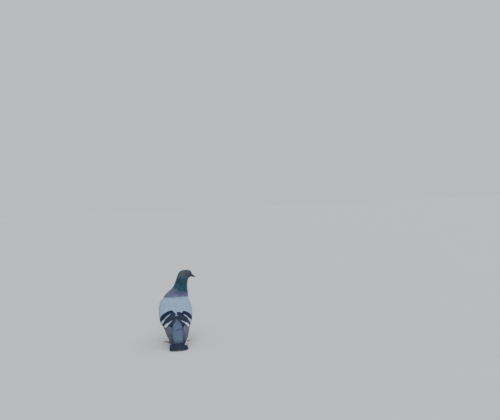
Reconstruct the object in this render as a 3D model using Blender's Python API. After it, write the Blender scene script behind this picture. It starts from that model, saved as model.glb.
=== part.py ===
"""A feral pigeon as a life-size still model: standing upright and looking to its right.

The bird faces -Y, its left side is +X and +Z is up. The floor is at Z = 0, and the origin is the
middle of the box around the whole bird, at floor level. Sizes below are in millimetres, in a
design frame of (x, forward, up), where forward is -Y. `place` turns them into metres.

The trunk leans back at POSTURE. Its rows are given in trunk coordinates: `along` runs from the
tail towards the neck and `out` runs from the belly towards the back, square to it.
"""

import math
from collections import namedtuple

import bmesh
import bpy
from mathutils import Vector

MM = 0.001
CUT = 0.35  # the thin gap that parts one piece from the next
CUTTER_GROWTH = 0.6  # how far a cutter is swollen along its vertex normals
POSTURE = math.radians(46.0)  # slope of the trunk's axis above the floor
HEAD_TURN = math.radians(85.0)  # how far the head looks to the bird's right
HEAD_PITCH = math.radians(14.0)  # how far the bill points down
EYE_MID = Vector((-45.0, 36.0, 235.0))  # the point midway between the two eyes
RING_POINTS = 24
BETWEEN_ROWS = 2  # loft rings for each row of the body

# Trunk rows: along, out at the back, out at the belly, half-width.
TAIL_COVERT_ROWS = [
    (-46, 94.0, 84.5, 14.0),
    (-34, 95.6, 79.0, 20.0),
    (-12, 97.0, 69.5, 24.0),
    (12, 96.8, 58.0, 28.0),
]
TRUNK_ROWS = [
    (34, 96.2, 32.0, 38.0),
    (58, 95.6, 12.0, 45.0),
    (84, 95.0, 5.0, 47.5),
    (110, 93.8, 6.0, 46.5),
]
# Neck rows: x, forward, up, turn and tilt in degrees, half-depth, half-width.
NECK_ROWS = [
    (-3.0, 54.0, 137.0, 0, 35, 40.0, 46.5),
    (-8.5, 52.5, 158.0, 8, 22, 32.5, 40.5),
    (-19.0, 47.0, 177.5, 25, 12, 26.0, 28.8),
    (-23.9, 41.5, 193.5, 45, 7, 22.6, 23.2),
    (-27.2, 37.0, 207.0, 65, 6, 21.8, 19.4),
]
# Head rows, measured from EYE_MID: crown side (forward, up), throat side (forward, up), half-width.
HEAD_ROWS = [
    ((-29.0, -14.6), (10.0, -23.4), 16.2),
    ((-27.0, -5.6), (11.0, -18.4), 14.2),
    ((-21.8, 2.0), (12.3, -15.6), 13.0),
    ((-13.4, 6.6), (14.0, -14.2), 12.3),
    ((-4.0, 9.3), (15.8, -13.4), 11.4),
    ((5.2, 10.1), (17.2, -12.9), 9.9),
    ((12.9, 8.4), (18.2, -12.3), 7.8),
    ((17.6, 3.6), (18.8, -11.6), 5.2),
]

# Wing rows: along, then (x, out) of the edge near the back, of the widest line and of the lower edge.
WING_ROWS = [
    (134, (34.0, 78.0), (46.0, 62.0), (41.0, 50.0)),
    (128, (28.0, 85.0), (50.5, 62.0), (44.0, 42.0)),
    (118, (21.0, 92.0), (54.0, 62.0), (46.5, 34.0)),
    (104, (11.0, 97.5), (56.8, 62.0), (48.0, 28.0)),
    (86, (3.5, 100.0), (57.8, 63.0), (48.0, 25.0)),
    (60, (2.2, 100.5), (56.0, 66.0), (47.0, 30.0)),
    (36, (2.6, 100.0), (50.0, 71.0), (43.0, 44.0)),
    (22, (10.5, 99.8), (46.5, 74.5), (40.0, 53.0)),
    (8, (18.0, 99.4), (43.5, 78.0), (37.5, 61.0)),
    (-10, (17.5, 99.0), (39.5, 82.5), (34.5, 71.0)),
    (-34, (14.0, 98.2), (34.0, 89.0), (31.0, 82.5)),
    (-50, (12.5, 97.6), (26.0, 93.0), (24.5, 90.0)),
    (-58, (12.5, 97.2), (18.0, 95.0), (17.5, 94.0)),
]
WING_SPLIT = 4.0  # where the covered wing ends and the bare primaries show
WING_ARC_POINTS = 5  # on each side of the widest line
SHIELD_THICK = (2.2, 8.0)  # at the edges and in the middle
PRIMARIES_THICK = (1.1, 2.6)

# Tail rows: along, out of the middle of its upper face, half-width, thickness.
TAIL_ROWS = [
    (-4, 91.6, 17.0, 4.2),
    (-22, 91.6, 23.0, 4.0),
    (-46, 91.4, 28.0, 3.4),
    (-66, 91.2, 31.0, 2.8),
    (-76, 91.0, 31.4, 2.4),
    (-80.5, 90.9, 28.5, 2.2),
    (-82.4, 90.8, 20.0, 2.0),
]
TAIL_ARCH = 4.0  # how much lower the tail's sides lie than its middle
TAIL_ARC_POINTS = 4

# Legs, for the left side: (x, forward, up) and radius.
THIGH_ROWS = [
    ((25.5, 15.0, 69.0), 11.5),
    ((25.2, 8.0, 58.0), 11.0),
    ((24.5, -3.0, 45.0), 8.0),
    ((23.2, -9.0, 37.5), 5.6),
    ((22.9, -10.6, 35.0), 4.4),
]
SHANK_ROWS = [
    ((22.9, -8.6, 38.5), 2.7),
    ((22.7, -10.2, 34.0), 3.3),
    ((22.8, -8.8, 29.0), 2.9),
    ((23.0, -4.5, 20.0), 2.5),
    ((23.0, 0.5, 9.8), 2.8),
    ((23.0, 2.0, 5.8), 4.4),
    ((23.0, 2.4, 3.0), 5.4),
    ((23.0, 2.4, 1.4), 4.6),
]
FOOT_CENTRE = Vector((23.0, 2.4, 0.0))
STANCE = {"left": (0.0, 1.0), "right": (3.0, -6.0)}  # how far out and ahead each leg stands
# Toes: name, direction in degrees outwards from straight ahead, length, thickest radius.
TOES = [
    ("inner", -40.0, 21.0, 2.3),
    ("middle", 2.0, 28.0, 2.5),
    ("outer", 42.0, 22.0, 2.2),
    ("hind", 172.0, 13.0, 2.2),
]
TOE_START = 6.2  # from the foot's centre, clear of the shank
TOE_RINGS = 7
TOE_TAPER = 0.32  # how much thinner a toe is at its tip
TOE_SEAT = 0.86  # height of a toe's axis as a share of its radius, which leaves a flat under it
CLAW_RINGS = 6
CLAW_LENGTH = 7.5
CLAW_RADIUS = 1.35
CLAW_BEND = math.radians(42.0)
CLAW_TAPER = 0.75

# Bill, measured from EYE_MID: forward, upper outline, gape line, lower outline, half-width.
BILL_ROWS = [
    (12.0, -0.8, -6.6, -11.0, 4.5),
    (17.0, -1.8, -7.3, -11.3, 4.1),
    (22.0, -3.7, -7.9, -11.4, 3.2),
    (26.5, -5.1, -8.5, -11.4, 2.4),
    (30.0, -6.3, -9.2, -11.3, 1.9),
    (32.4, -7.5, -9.8, -11.3, 1.4),
]
BILL_HOOK = ((33.6, -8.5, -10.6, 0.9), (34.3, -9.7, -11.1, 0.5))  # forward, top, bottom, half-width
DOME_POINTS = 9
# Cere: forward, middle height, half-height, half-width.
CERE_ROWS = [
    (14.6, -0.8, 1.3, 2.5),
    (17.3, -0.5, 2.0, 3.7),
    (20.0, -1.6, 1.9, 3.6),
    (22.4, -3.0, 1.3, 2.6),
    (24.0, -4.0, 0.7, 1.4),
]
CERE_POINTS = 13  # odd, so that its rings cross the bill's cleanly
CERE_GROOVE = 0.3  # depth of the groove between its two lobes, as a share of its height
EYE_RADIUS = 5.1
EYE_SIDE = 7.6  # from the head's middle plane to the eye's centre

Section = namedtuple("Section", "centre rise side")


# ---------------------------------------------------------------- frames


def place(v):
    """A design point in the part's own axes, in metres."""
    return Vector((v.x, -v.y, v.z)) * MM


def in_trunk(x, along, out):
    """The design point at these trunk coordinates."""
    c, s = math.cos(POSTURE), math.sin(POSTURE)
    return Vector((x, along * c - out * s, along * s + out * c))


def on_head(side, forward, up):
    """The design point this far to the head's left, in front of and above the midpoint of the eyes."""
    c, s = math.cos(HEAD_PITCH), math.sin(HEAD_PITCH)
    level, height = forward * c + up * s, up * c - forward * s
    ahead = Vector((-math.sin(HEAD_TURN), math.cos(HEAD_TURN), 0))
    left = Vector((math.cos(HEAD_TURN), math.sin(HEAD_TURN), 0))
    return EYE_MID + ahead * level + left * side + Vector((0, 0, height))


# ---------------------------------------------------------------- sections


def trunk_section(along, back, belly, half_width):
    centre = in_trunk(0, along, (back + belly) / 2)
    rise = in_trunk(0, along, back) - centre
    return Section(centre, rise, Vector((half_width, 0, 0)))


def neck_section(x, forward, up, turn, tilt, half_depth, half_width):
    turn, tilt = math.radians(turn), math.radians(tilt)
    backward = Vector((math.sin(turn), -math.cos(turn), 0))
    rise = backward * math.cos(tilt) + Vector((0, 0, math.sin(tilt)))
    left = Vector((math.cos(turn), math.sin(turn), 0))
    return Section(Vector((x, forward, up)), rise * half_depth, left * half_width)


def head_section(crown, throat, half_width):
    top, bottom = on_head(0, *crown), on_head(0, *throat)
    left = Vector((math.cos(HEAD_TURN), math.sin(HEAD_TURN), 0))
    return Section((top + bottom) / 2, (top - bottom) / 2, left * half_width)


def between(a, b, c, d, t):
    """The smooth curve through b and c at t, with a and d as its neighbours."""
    return (
        b * 2 + (c - a) * t + (a * 2 - b * 5 + c * 4 - d) * t**2 + (b * 3 - a - c * 3 + d) * t**3
    ) / 2


def refined(rows, steps):
    """The rows with steps rings for each, on a smooth curve through all of them."""
    last = len(rows) - 1
    made = []
    for i in range(last):
        near = [rows[max(i - 1, 0)], rows[i], rows[i + 1], rows[min(i + 2, last)]]
        for k in range(steps):
            made.append(type(rows[0])(*(between(*field, k / steps) for field in zip(*near))))
    return made + [rows[last]]


def ellipse(section, points=RING_POINTS):
    turns = [2 * math.pi * i / points for i in range(points)]
    return [
        section.centre + section.side * math.cos(a) + section.rise * math.sin(a) for a in turns
    ]


def shifted(section, distance):
    """The section moved along its own axis, towards the head."""
    axis = section.side.cross(section.rise).normalized()
    return section._replace(centre=section.centre - axis * distance)


# ---------------------------------------------------------------- solids


def material(name, colour, roughness, metallic=0.0):
    made = bpy.data.materials.new(name)
    made.use_nodes = True
    shader = made.node_tree.nodes["Principled BSDF"]
    shader.inputs["Base Color"].default_value = (*colour, 1)
    shader.inputs["Roughness"].default_value = roughness
    shader.inputs["Metallic"].default_value = metallic
    return made


def loft(name, rings, finish):
    """One closed solid through rings of equal length, with flat ends."""
    bm = bmesh.new()
    ring = bmesh.ops.create_circle(bm, segments=len(rings[0]), radius=1)["verts"]
    ring.sort(key=lambda v: math.atan2(v.co.y, v.co.x) % (2 * math.pi))
    for i, places in enumerate(rings):
        if i:
            edges = [e for e in bm.edges if all(v in ring for v in e.verts)]
            made = bmesh.ops.extrude_edge_only(bm, edges=edges)["geom"]
            fresh = {v for v in made if isinstance(v, bmesh.types.BMVert)}
            ring = [next(e.other_vert(v) for e in v.link_edges if e.other_vert(v) in fresh) for v in ring]
        for v, at in zip(ring, places):
            v.co = place(at)
    bmesh.ops.holes_fill(bm, edges=bm.edges, sides=0)
    return finished(name, bm, finish)


def finished(name, bm, finish):
    bmesh.ops.recalc_face_normals(bm, faces=bm.faces)
    mesh = bpy.data.meshes.new(name)
    bm.to_mesh(mesh)
    bm.free()
    mesh.materials.append(finish)
    mesh.shade_smooth()
    mesh.set_sharp_from_angle(angle=math.radians(50))
    node = bpy.data.objects.new(name, mesh)
    bpy.context.scene.collection.objects.link(node)
    return node


def cut(node, *others):
    """Cuts node back from each other piece, leaving a thin gap."""
    for other in others:
        cutter = other.copy()
        cutter.name = f"cutter_{other.name}"
        cutter.hide_render = True
        cutter.display_type = "WIRE"
        bpy.context.scene.collection.objects.link(cutter)
        swell = cutter.modifiers.new("swell", "DISPLACE")
        swell.strength = CUTTER_GROWTH * MM
        swell.mid_level = 0
        gap = node.modifiers.new(f"clear_of_{other.name}", "BOOLEAN")
        gap.operation = "DIFFERENCE"
        gap.solver = "EXACT"
        gap.object = cutter


def flatten_foot(node):
    """Cuts the node off at floor level, so that it rests on a small flat."""
    bm = bmesh.new()
    bm.from_mesh(node.data)
    geometry = bm.verts[:] + bm.edges[:] + bm.faces[:]
    bmesh.ops.bisect_plane(bm, geom=geometry, plane_co=(0, 0, 0), plane_no=(0, 0, -1), clear_outer=True)
    bmesh.ops.holes_fill(bm, edges=bm.edges, sides=0)
    bmesh.ops.recalc_face_normals(bm, faces=bm.faces)
    bm.to_mesh(node.data)
    bm.free()


def tube(name, rows, finish, points=10, between_rows=2):
    """A round limb through (place, radius) rows."""
    Joint = namedtuple("Joint", "centre radius")
    run = refined([Joint(Vector(at), radius) for at, radius in rows], between_rows)
    rings = []
    for i, joint in enumerate(run):
        axis = (run[min(i + 1, len(run) - 1)].centre - run[max(i - 1, 0)].centre).normalized()
        side = axis.cross(Vector((0, 0, 1)) if abs(axis.z) < 0.9 else Vector((0, 1, 0))).normalized()
        rise = side.cross(axis)
        rings.append(ellipse(Section(joint.centre, rise * joint.radius, side * joint.radius), points))
    return loft(name, rings, finish)


# ---------------------------------------------------------------- body, neck and head


def body_nodes(plumage, neck_sheen, face):
    """The rump, trunk, neck and head, parted by thin cuts from one smooth loft."""
    coverts = [trunk_section(*row) for row in TAIL_COVERT_ROWS]
    trunk = [trunk_section(*row) for row in TRUNK_ROWS]
    neck = [neck_section(*row) for row in NECK_ROWS]
    head = [head_section(*row) for row in HEAD_ROWS]
    whole = refined(coverts + trunk + neck + head, BETWEEN_ROWS)
    trunk_start = (len(coverts) - 1) * BETWEEN_ROWS
    neck_start = (len(coverts) + len(trunk)) * BETWEEN_ROWS + 1
    head_start = (len(coverts) + len(trunk) + len(neck)) * BETWEEN_ROWS
    spans = [
        ("rump", 0, trunk_start, plumage),
        ("trunk", trunk_start, neck_start, plumage),
        ("neck", neck_start, head_start, neck_sheen),
        ("head", head_start, len(whole) - 1, face),
    ]
    nodes = {}
    for name, first, last, finish in spans:
        run = whole[first : last + 1]
        if first:
            run[0] = shifted(run[0], CUT)
        nodes[name] = loft(name, [ellipse(section) for section in run], finish)
    return nodes


# ---------------------------------------------------------------- wings and tail


def strip_ring(outer, thick_edge, thick_middle):
    """A closed ring of (x, out) points: an arc seen from outside, then the same arc moved inwards."""
    inner = []
    for i, at in enumerate(outer):
        run = outer[min(i + 1, len(outer) - 1)] - outer[max(i - 1, 0)]
        inward = Vector((run.y, -run.x)).normalized()
        share = math.sin(math.pi * i / (len(outer) - 1))
        inner.append(at + inward * (thick_edge + (thick_middle - thick_edge) * share))
    return outer + inner[::-1]


def wing_arc(edge, widest, lower):
    """From the edge near the back over the widest line to the lower edge, as two quarter ellipses."""
    steps = [math.pi / 2 * i / WING_ARC_POINTS for i in range(WING_ARC_POINTS + 1)]
    upper_part = [
        Vector(
            (
                edge.x + (widest.x - edge.x) * math.sin(a),
                widest.y + (edge.y - widest.y) * math.cos(a),
            )
        )
        for a in steps
    ]
    lower_part = [
        Vector(
            (
                lower.x + (widest.x - lower.x) * math.cos(a),
                widest.y - (widest.y - lower.y) * math.sin(a),
            )
        )
        for a in steps[1:]
    ]
    return upper_part + lower_part


def wing_nodes(side, sign, shield, flight):
    """The folded wing's covered shield and the primaries beyond it."""
    Row = namedtuple("Row", "along edge widest lower")
    rows = [Row(along, *(Vector(at) for at in points)) for along, *points in WING_ROWS]
    split = next(i for i, row in enumerate(rows) if row.along < WING_SPLIT)
    before, after = rows[split - 1], rows[split]
    share = (before.along - WING_SPLIT) / (before.along - after.along)
    middle = Row(*(a + (b - a) * share for a, b in zip(before, after)))
    beyond = [middle._replace(along=WING_SPLIT - CUT)] + rows[split:]
    spans = [
        (f"wing_{side}", rows[:split] + [middle], SHIELD_THICK, shield),
        (f"primaries_{side}", beyond, PRIMARIES_THICK, flight),
    ]
    made = []
    for name, span, thickness, finish in spans:
        rings = []
        for row in refined(span, 2):
            arc = wing_arc(row.edge, row.widest, row.lower)
            ring = strip_ring(arc, *thickness)
            rings.append([in_trunk(sign * at.x, row.along, at.y) for at in ring])
        made.append(loft(name, rings, finish))
    return made


def tail_node(finish):
    """The folded tail: a shallow arched slab that widens to a rounded end just above the floor."""
    Row = namedtuple("Row", "along out half_width thickness")
    rings = []
    for row in refined([Row(*row) for row in TAIL_ROWS], 2):
        shares = [i / TAIL_ARC_POINTS for i in range(-TAIL_ARC_POINTS, TAIL_ARC_POINTS + 1)]
        top = [(row.half_width * u, row.out - TAIL_ARCH * (row.half_width * u / 30) ** 2) for u in shares]
        bottom = [(x, out - row.thickness) for x, out in reversed(top)]
        rings.append([in_trunk(x, row.along, out) for x, out in top + bottom])
    return loft("tail", rings, finish)


# ---------------------------------------------------------------- legs and feet


def toe_nodes(side, sign, skin, horn):
    """Four toes with their claws, each toe resting on a small flat."""
    out, on = STANCE[side]
    for toe, angle, length, radius in TOES:
        angle = math.radians(angle)
        ahead = Vector((sign * math.sin(angle), math.cos(angle), 0))
        start = Vector((sign * (FOOT_CENTRE.x + out), FOOT_CENTRE.y + on, 0)) + ahead * TOE_START
        rows = []
        for i in range(TOE_RINGS):
            t = i / (TOE_RINGS - 1)
            root = min(1.0, 0.72 + 2.4 * t)
            tip = math.sqrt(max(1 - t**8, 0.35))
            size = radius * (1 - TOE_TAPER * t) * root * tip
            rows.append((start + ahead * (length * t) + Vector((0, 0, size * TOE_SEAT)), size))
        flatten_foot(tube(f"toe_{side}_{toe}", rows, skin, points=8, between_rows=1))
        base = rows[-1][0] + ahead * CUT
        rows = []
        for i in range(CLAW_RINGS):
            t = i / (CLAW_RINGS - 1)
            reach = CLAW_LENGTH * math.sin(CLAW_BEND * t) / CLAW_BEND
            drop = CLAW_LENGTH * (1 - math.cos(CLAW_BEND * t)) / CLAW_BEND
            rows.append((base + ahead * reach - Vector((0, 0, drop)), CLAW_RADIUS * (1 - CLAW_TAPER * t)))
        flatten_foot(tube(f"claw_{side}_{toe}", rows, horn, points=8, between_rows=1))


def leg_nodes(side, sign, plumage, skin, horn):
    out, ahead = STANCE[side]

    def standing(rows):
        return [((sign * (x + out), forward + ahead, up), radius) for (x, forward, up), radius in rows]

    thigh = tube(f"thigh_{side}", standing(THIGH_ROWS), plumage)
    shank = tube(f"shank_{side}", standing(SHANK_ROWS), skin)
    toe_nodes(side, sign, skin, horn)
    return thigh, shank


# ---------------------------------------------------------------- bill and eyes


def dome(forward, base, crown, half_width):
    """A half-round ring with a flat side, in the plane across the bill."""
    turns = [math.pi * i / (DOME_POINTS - 1) for i in range(DOME_POINTS)]
    return [
        on_head(half_width * math.cos(a), forward, base + (crown - base) * math.sin(a)) for a in turns
    ]


def bill_nodes(horn):
    Row = namedtuple("Row", "forward top gape bottom half_width")
    rows = refined([Row(*row) for row in BILL_ROWS], 2)
    upper = [dome(r.forward, r.gape + CUT / 2, r.top, r.half_width) for r in rows]
    upper += [dome(forward, base, top, half_width) for forward, top, base, half_width in BILL_HOOK]
    lower = [dome(r.forward, r.gape - CUT / 2, r.bottom, r.half_width * 0.9) for r in rows[:-1]]
    return loft("bill_upper", upper, horn), loft("bill_lower", lower, horn)


def cere_node(finish):
    """The pale swelling over the nostrils, with a groove down its middle."""
    Row = namedtuple("Row", "forward middle half_height half_width")
    rings = []
    for row in refined([Row(*row) for row in CERE_ROWS], 2):
        ring = []
        for i in range(CERE_POINTS):
            a = 2 * math.pi * i / CERE_POINTS
            groove = 1 - CERE_GROOVE * max(math.sin(a), 0) ** 6
            up = row.middle + row.half_height * math.sin(a) * groove
            ring.append(on_head(row.half_width * math.cos(a), row.forward, up))
        rings.append(ring)
    return loft("cere", rings, finish)


def eye_node(side, sign, finish):
    bm = bmesh.new()
    bmesh.ops.create_icosphere(bm, subdivisions=2, radius=EYE_RADIUS * MM)
    bmesh.ops.translate(bm, verts=bm.verts, vec=place(on_head(sign * EYE_SIDE, 0, 0)))
    return finished(f"eye_{side}", bm, finish)


# ---------------------------------------------------------------- assembly


def centre_on_floor():
    """Parents every piece to one empty, moved so that the bird's box stands centred on the origin."""
    bpy.context.view_layer.update()
    graph = bpy.context.evaluated_depsgraph_get()
    nodes = [node for node in bpy.context.scene.objects if not node.hide_render]
    corners = [Vector(c) for node in nodes for c in node.evaluated_get(graph).bound_box]
    middle = [(min(c[i] for c in corners) + max(c[i] for c in corners)) / 2 for i in (0, 1)]
    bird = bpy.data.objects.new("bird", None)
    bpy.context.scene.collection.objects.link(bird)
    for node in bpy.context.scene.objects:
        if node is not bird:
            node.parent = bird
    bird.location = (-middle[0], -middle[1], 0)


def main():
    for old in list(bpy.data.objects):
        bpy.data.objects.remove(old)
    body = material("body_plumage", (0.34, 0.40, 0.50), 0.75)
    neck_sheen = material("neck_plumage", (0.05, 0.16, 0.17), 0.4, 0.3)
    face = material("head_plumage", (0.10, 0.13, 0.17), 0.7)
    shield = material("wing_shield", (0.40, 0.46, 0.56), 0.75)
    flight = material("flight_feathers", (0.15, 0.15, 0.17), 0.6)
    tail = material("tail_feathers", (0.07, 0.08, 0.11), 0.6)
    skin = material("leg_skin", (0.42, 0.10, 0.10), 0.55)
    horn = material("dark_horn", (0.03, 0.03, 0.035), 0.35)
    cere = material("cere_skin", (0.62, 0.60, 0.58), 0.7)
    iris = material("eye", (0.55, 0.10, 0.02), 0.08)

    nodes = body_nodes(body, neck_sheen, face)
    fan = tail_node(tail)
    cut(nodes["rump"], fan)
    for side, sign in (("left", 1), ("right", -1)):
        wing, primaries = wing_nodes(side, sign, shield, flight)
        thigh, shank = leg_nodes(side, sign, body, skin, horn)
        cut(thigh, shank)
        cut(nodes["trunk"], wing, thigh)
        cut(nodes["neck"], wing)
        cut(nodes["rump"], wing, primaries)
        cut(primaries, fan)
        eye = eye_node(side, sign, iris)
        cut(nodes["head"], eye)
    upper, lower = bill_nodes(horn)
    swelling = cere_node(cere)
    cut(upper, swelling)
    cut(nodes["head"], swelling, upper, lower)
    centre_on_floor()


main()
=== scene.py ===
import math

import bmesh
import bpy
import numpy as np
from bpy.props import FloatProperty, FloatVectorProperty, IntProperty, PointerProperty
from mathutils import Matrix, Vector
from mathutils.bvhtree import BVHTree
from mathutils.kdtree import KDTree


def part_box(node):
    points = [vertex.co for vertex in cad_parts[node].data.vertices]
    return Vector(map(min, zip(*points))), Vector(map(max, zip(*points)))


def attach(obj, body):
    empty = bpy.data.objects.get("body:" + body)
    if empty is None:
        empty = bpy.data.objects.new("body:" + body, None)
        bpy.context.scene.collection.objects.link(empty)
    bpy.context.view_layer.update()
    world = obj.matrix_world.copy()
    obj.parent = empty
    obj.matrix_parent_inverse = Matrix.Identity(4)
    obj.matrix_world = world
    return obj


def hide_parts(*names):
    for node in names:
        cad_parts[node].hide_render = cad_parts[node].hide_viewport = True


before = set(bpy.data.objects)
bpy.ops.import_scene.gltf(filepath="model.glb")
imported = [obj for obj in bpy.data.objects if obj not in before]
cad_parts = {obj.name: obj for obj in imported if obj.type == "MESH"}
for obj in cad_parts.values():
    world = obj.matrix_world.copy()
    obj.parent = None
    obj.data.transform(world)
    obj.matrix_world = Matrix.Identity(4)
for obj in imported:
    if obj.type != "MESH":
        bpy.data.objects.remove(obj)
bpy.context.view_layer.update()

bl_info = {
    "name": "Pigeon figure",
    "version": (1, 0, 0),
    "blender": (4, 5, 0),
    "location": "3D Viewport > Sidebar > Pigeon",
    "description": "Skin, feathers, bare parts and stage of a life-size pigeon, made round its frame",
    "category": "Object",
}

MM = 0.001
SIDES = {"left": 1.0, "right": -1.0}
TOES = ("inner", "middle", "outer", "hind")
COAT_NODES = ["trunk", "neck", "head", "rump", "wing_left", "wing_right", "thigh_left", "thigh_right"]

# ---------------------------------------------------------------- the bird's own axes, in millimetres
# x is to the bird's left, y is towards its tail, z is up, and the origin is on the floor between the feet.

POSTURE = math.radians(46.0)  # slope of the trunk's axis
HEAD_TURN = math.radians(85.0)  # how far the head looks to the bird's right
HEAD_PITCH = math.radians(14.0)  # how far the bill points down
EYE_MID = np.array((-45.0, -36.0, 235.0))  # the point midway between the two eyes
BARREL_AXIS = 60.0  # the back and wings curve round this line, by its distance out
SPAN_UP = np.array((0.0, math.sin(POSTURE), math.cos(POSTURE)))  # out of the back
SPAN_ON = np.array((0.0, -math.cos(POSTURE), math.sin(POSTURE)))  # along the trunk, to the head
AHEAD = np.array((-math.sin(HEAD_TURN), -math.cos(HEAD_TURN), 0.0))
HEAD_LEFT = np.array((math.cos(HEAD_TURN), -math.sin(HEAD_TURN), 0.0))


def own_origin():
    """Where the bird's own axes start in the frame, in millimetres, from the middle of its eyes."""
    corners = [np.array(corner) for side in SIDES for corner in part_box(f"eye_{side}")]
    return sum(corners) / len(corners) / MM - EYE_MID


ORIGIN = own_origin()


def in_metres(points):
    return (np.asarray(points) + ORIGIN) * MM


def on_trunk(points):
    """How far out to the left, along the trunk and out of the back each point is."""
    points = np.asarray(points)
    return points[..., 0], points @ SPAN_ON, points @ SPAN_UP


def from_trunk(x, along, out):
    x, along, out = np.broadcast_arrays(x, along, out)
    return x[..., None] * np.array((1.0, 0, 0)) + along[..., None] * SPAN_ON + out[..., None] * SPAN_UP


def on_head(points):
    """How far to the head's left, ahead of and above the middle of the eyes each point is."""
    points = np.asarray(points) - EYE_MID
    level, height = points @ AHEAD, points[..., 2]
    c, s = math.cos(HEAD_PITCH), math.sin(HEAD_PITCH)
    return points @ HEAD_LEFT, level * c - height * s, level * s + height * c


def from_head(side, forward, up):
    c, s = math.cos(HEAD_PITCH), math.sin(HEAD_PITCH)
    above = np.array((0, 0, up * c - forward * s))
    return EYE_MID + AHEAD * (forward * c + up * s) + HEAD_LEFT * side + above


def unit(v):
    return v / np.maximum(np.linalg.norm(v, axis=-1, keepdims=True), 1e-9)


def ramp(low, high, value):
    """0 below low, 1 above high and smooth between them."""
    t = np.clip((value - low) / (high - low), 0, 1)
    return t * t * (3 - 2 * t)


def curve(at, stops):
    """The line through (position, value) stops, read at each place."""
    stops = np.array(stops, float)
    return np.interp(at, stops[:, 0], stops[:, 1])


# ---------------------------------------------------------------- meshes


def mm_bmesh(name):
    """A merged copy of a frame node in the bird's own axes."""
    bm = bmesh.new()
    bm.from_mesh(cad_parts[name].data)
    to_own_axes = Matrix.Translation(-Vector(ORIGIN)) @ Matrix.Scale(1 / MM, 4)
    bmesh.ops.transform(bm, matrix=to_own_axes, verts=bm.verts)
    bmesh.ops.remove_doubles(bm, verts=bm.verts, dist=0.002)
    bmesh.ops.recalc_face_normals(bm, faces=bm.faces)
    return bm


def joined(parts):
    """One bmesh with the shapes of several, which are used up."""
    whole = bmesh.new()
    for part in parts:
        mesh = bpy.data.meshes.new("joined")
        part.to_mesh(mesh)
        part.free()
        whole.from_mesh(mesh)
        bpy.data.meshes.remove(mesh)
    return whole


def trimmed(bm, along):
    """The part of a shape that lies ahead of a place along the trunk, closed where it is cut."""
    geometry = bm.verts[:] + bm.edges[:] + bm.faces[:]
    bmesh.ops.bisect_plane(bm, geom=geometry, plane_co=SPAN_ON * along, plane_no=-SPAN_ON, clear_outer=True)
    bmesh.ops.holes_fill(bm, edges=bm.edges, sides=0)
    bmesh.ops.triangulate(bm, faces=bm.faces)
    bmesh.ops.recalc_face_normals(bm, faces=bm.faces)
    return bm


def places(bm):
    """Where each point of a shape is."""
    return np.array([v.co[:] for v in bm.verts])


def ways_out(bm):
    """Which way is out of a shape at each of its points."""
    return np.array([v.normal[:] for v in bm.verts])


def pushed(bm, ways, by):
    """A shape after each point has moved its own distance its own way."""
    for vert, way, distance in zip(bm.verts, ways, by.tolist()):
        vert.co += Vector(way) * distance
    return bm


def swollen(bm, by):
    bm.normal_update()
    for vert in bm.verts:
        vert.co += vert.normal * by
    return bm


def through_modifier(bm, kind, settings, other=None):
    """The bmesh after one modifier; other is the second shape of a Boolean. Both are used up."""
    objects = []
    for part in filter(None, (bm, other)):
        mesh = bpy.data.meshes.new("working")
        part.to_mesh(mesh)
        part.free()
        obj = bpy.data.objects.new("working", mesh)
        bpy.context.scene.collection.objects.link(obj)
        objects.append(obj)
    modifier = objects[0].modifiers.new("working", kind)
    for name, value in settings.items():
        setattr(modifier, name, value)
    if other is not None:
        modifier.object = objects[1]
    graph = bpy.context.evaluated_depsgraph_get()
    mesh = bpy.data.meshes.new_from_object(objects[0].evaluated_get(graph))
    made = bmesh.new()
    made.from_mesh(mesh)
    bpy.data.meshes.remove(mesh)
    for obj in objects:
        mesh = obj.data
        bpy.data.objects.remove(obj)
        bpy.data.meshes.remove(mesh)
    if not made.faces:
        raise RuntimeError(f"the {kind} step left nothing")
    return made


def smoothed(bm, times, verts=None):
    axes = {"use_axis_x": True, "use_axis_y": True, "use_axis_z": True}
    for _ in range(times):
        bmesh.ops.smooth_vert(bm, verts=bm.verts if verts is None else verts, factor=0.5, **axes)
    return bm


def remeshed(bm, voxel, smoothing):
    made = smoothed(through_modifier(bm, "REMESH", {"mode": "VOXEL", "voxel_size": voxel}), smoothing)
    made.normal_update()
    return made


def united(bm, other):
    return through_modifier(bm, "BOOLEAN", {"operation": "UNION", "solver": "MANIFOLD"}, other)


class Surface:
    """A closed shape that feathers are laid on."""

    def __init__(self, bm):
        bm.normal_update()
        bm.verts.ensure_lookup_table()
        self.tree = BVHTree.FromBMesh(bm)
        self.points = places(bm)
        self.normals = ways_out(bm)
        self.corners = np.array([[f.verts[i % len(f.verts)].index for i in range(4)] for f in bm.faces])
        self.areas = np.array([f.calc_area() for f in bm.faces])
        self.face_normals = unit(self.normals[self.corners].mean(axis=1))

    def nearest(self, points):
        """The nearest place on the shape to each point, and which way is out there."""
        flat = np.asarray(points).reshape(-1, 3)
        found = [self.tree.find_nearest(p) for p in flat.tolist()]
        at = np.array([f[0][:] for f in found]).reshape(np.shape(points))
        out = self.face_normals[[f[2] for f in found]].reshape(np.shape(points))
        return at, out

    def scattered(self, faces, count, random):
        """Points picked evenly by area from some of the faces."""
        weights = self.areas[faces] / self.areas[faces].sum()
        picked = random.choice(faces, size=count, p=weights)
        u, v = random.random((2, count, 1))
        a, b, c, d = (self.points[self.corners[picked, i]] for i in range(4))
        return a * (1 - u) * (1 - v) + b * u * (1 - v) + c * u * v + d * (1 - u) * v, picked


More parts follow.
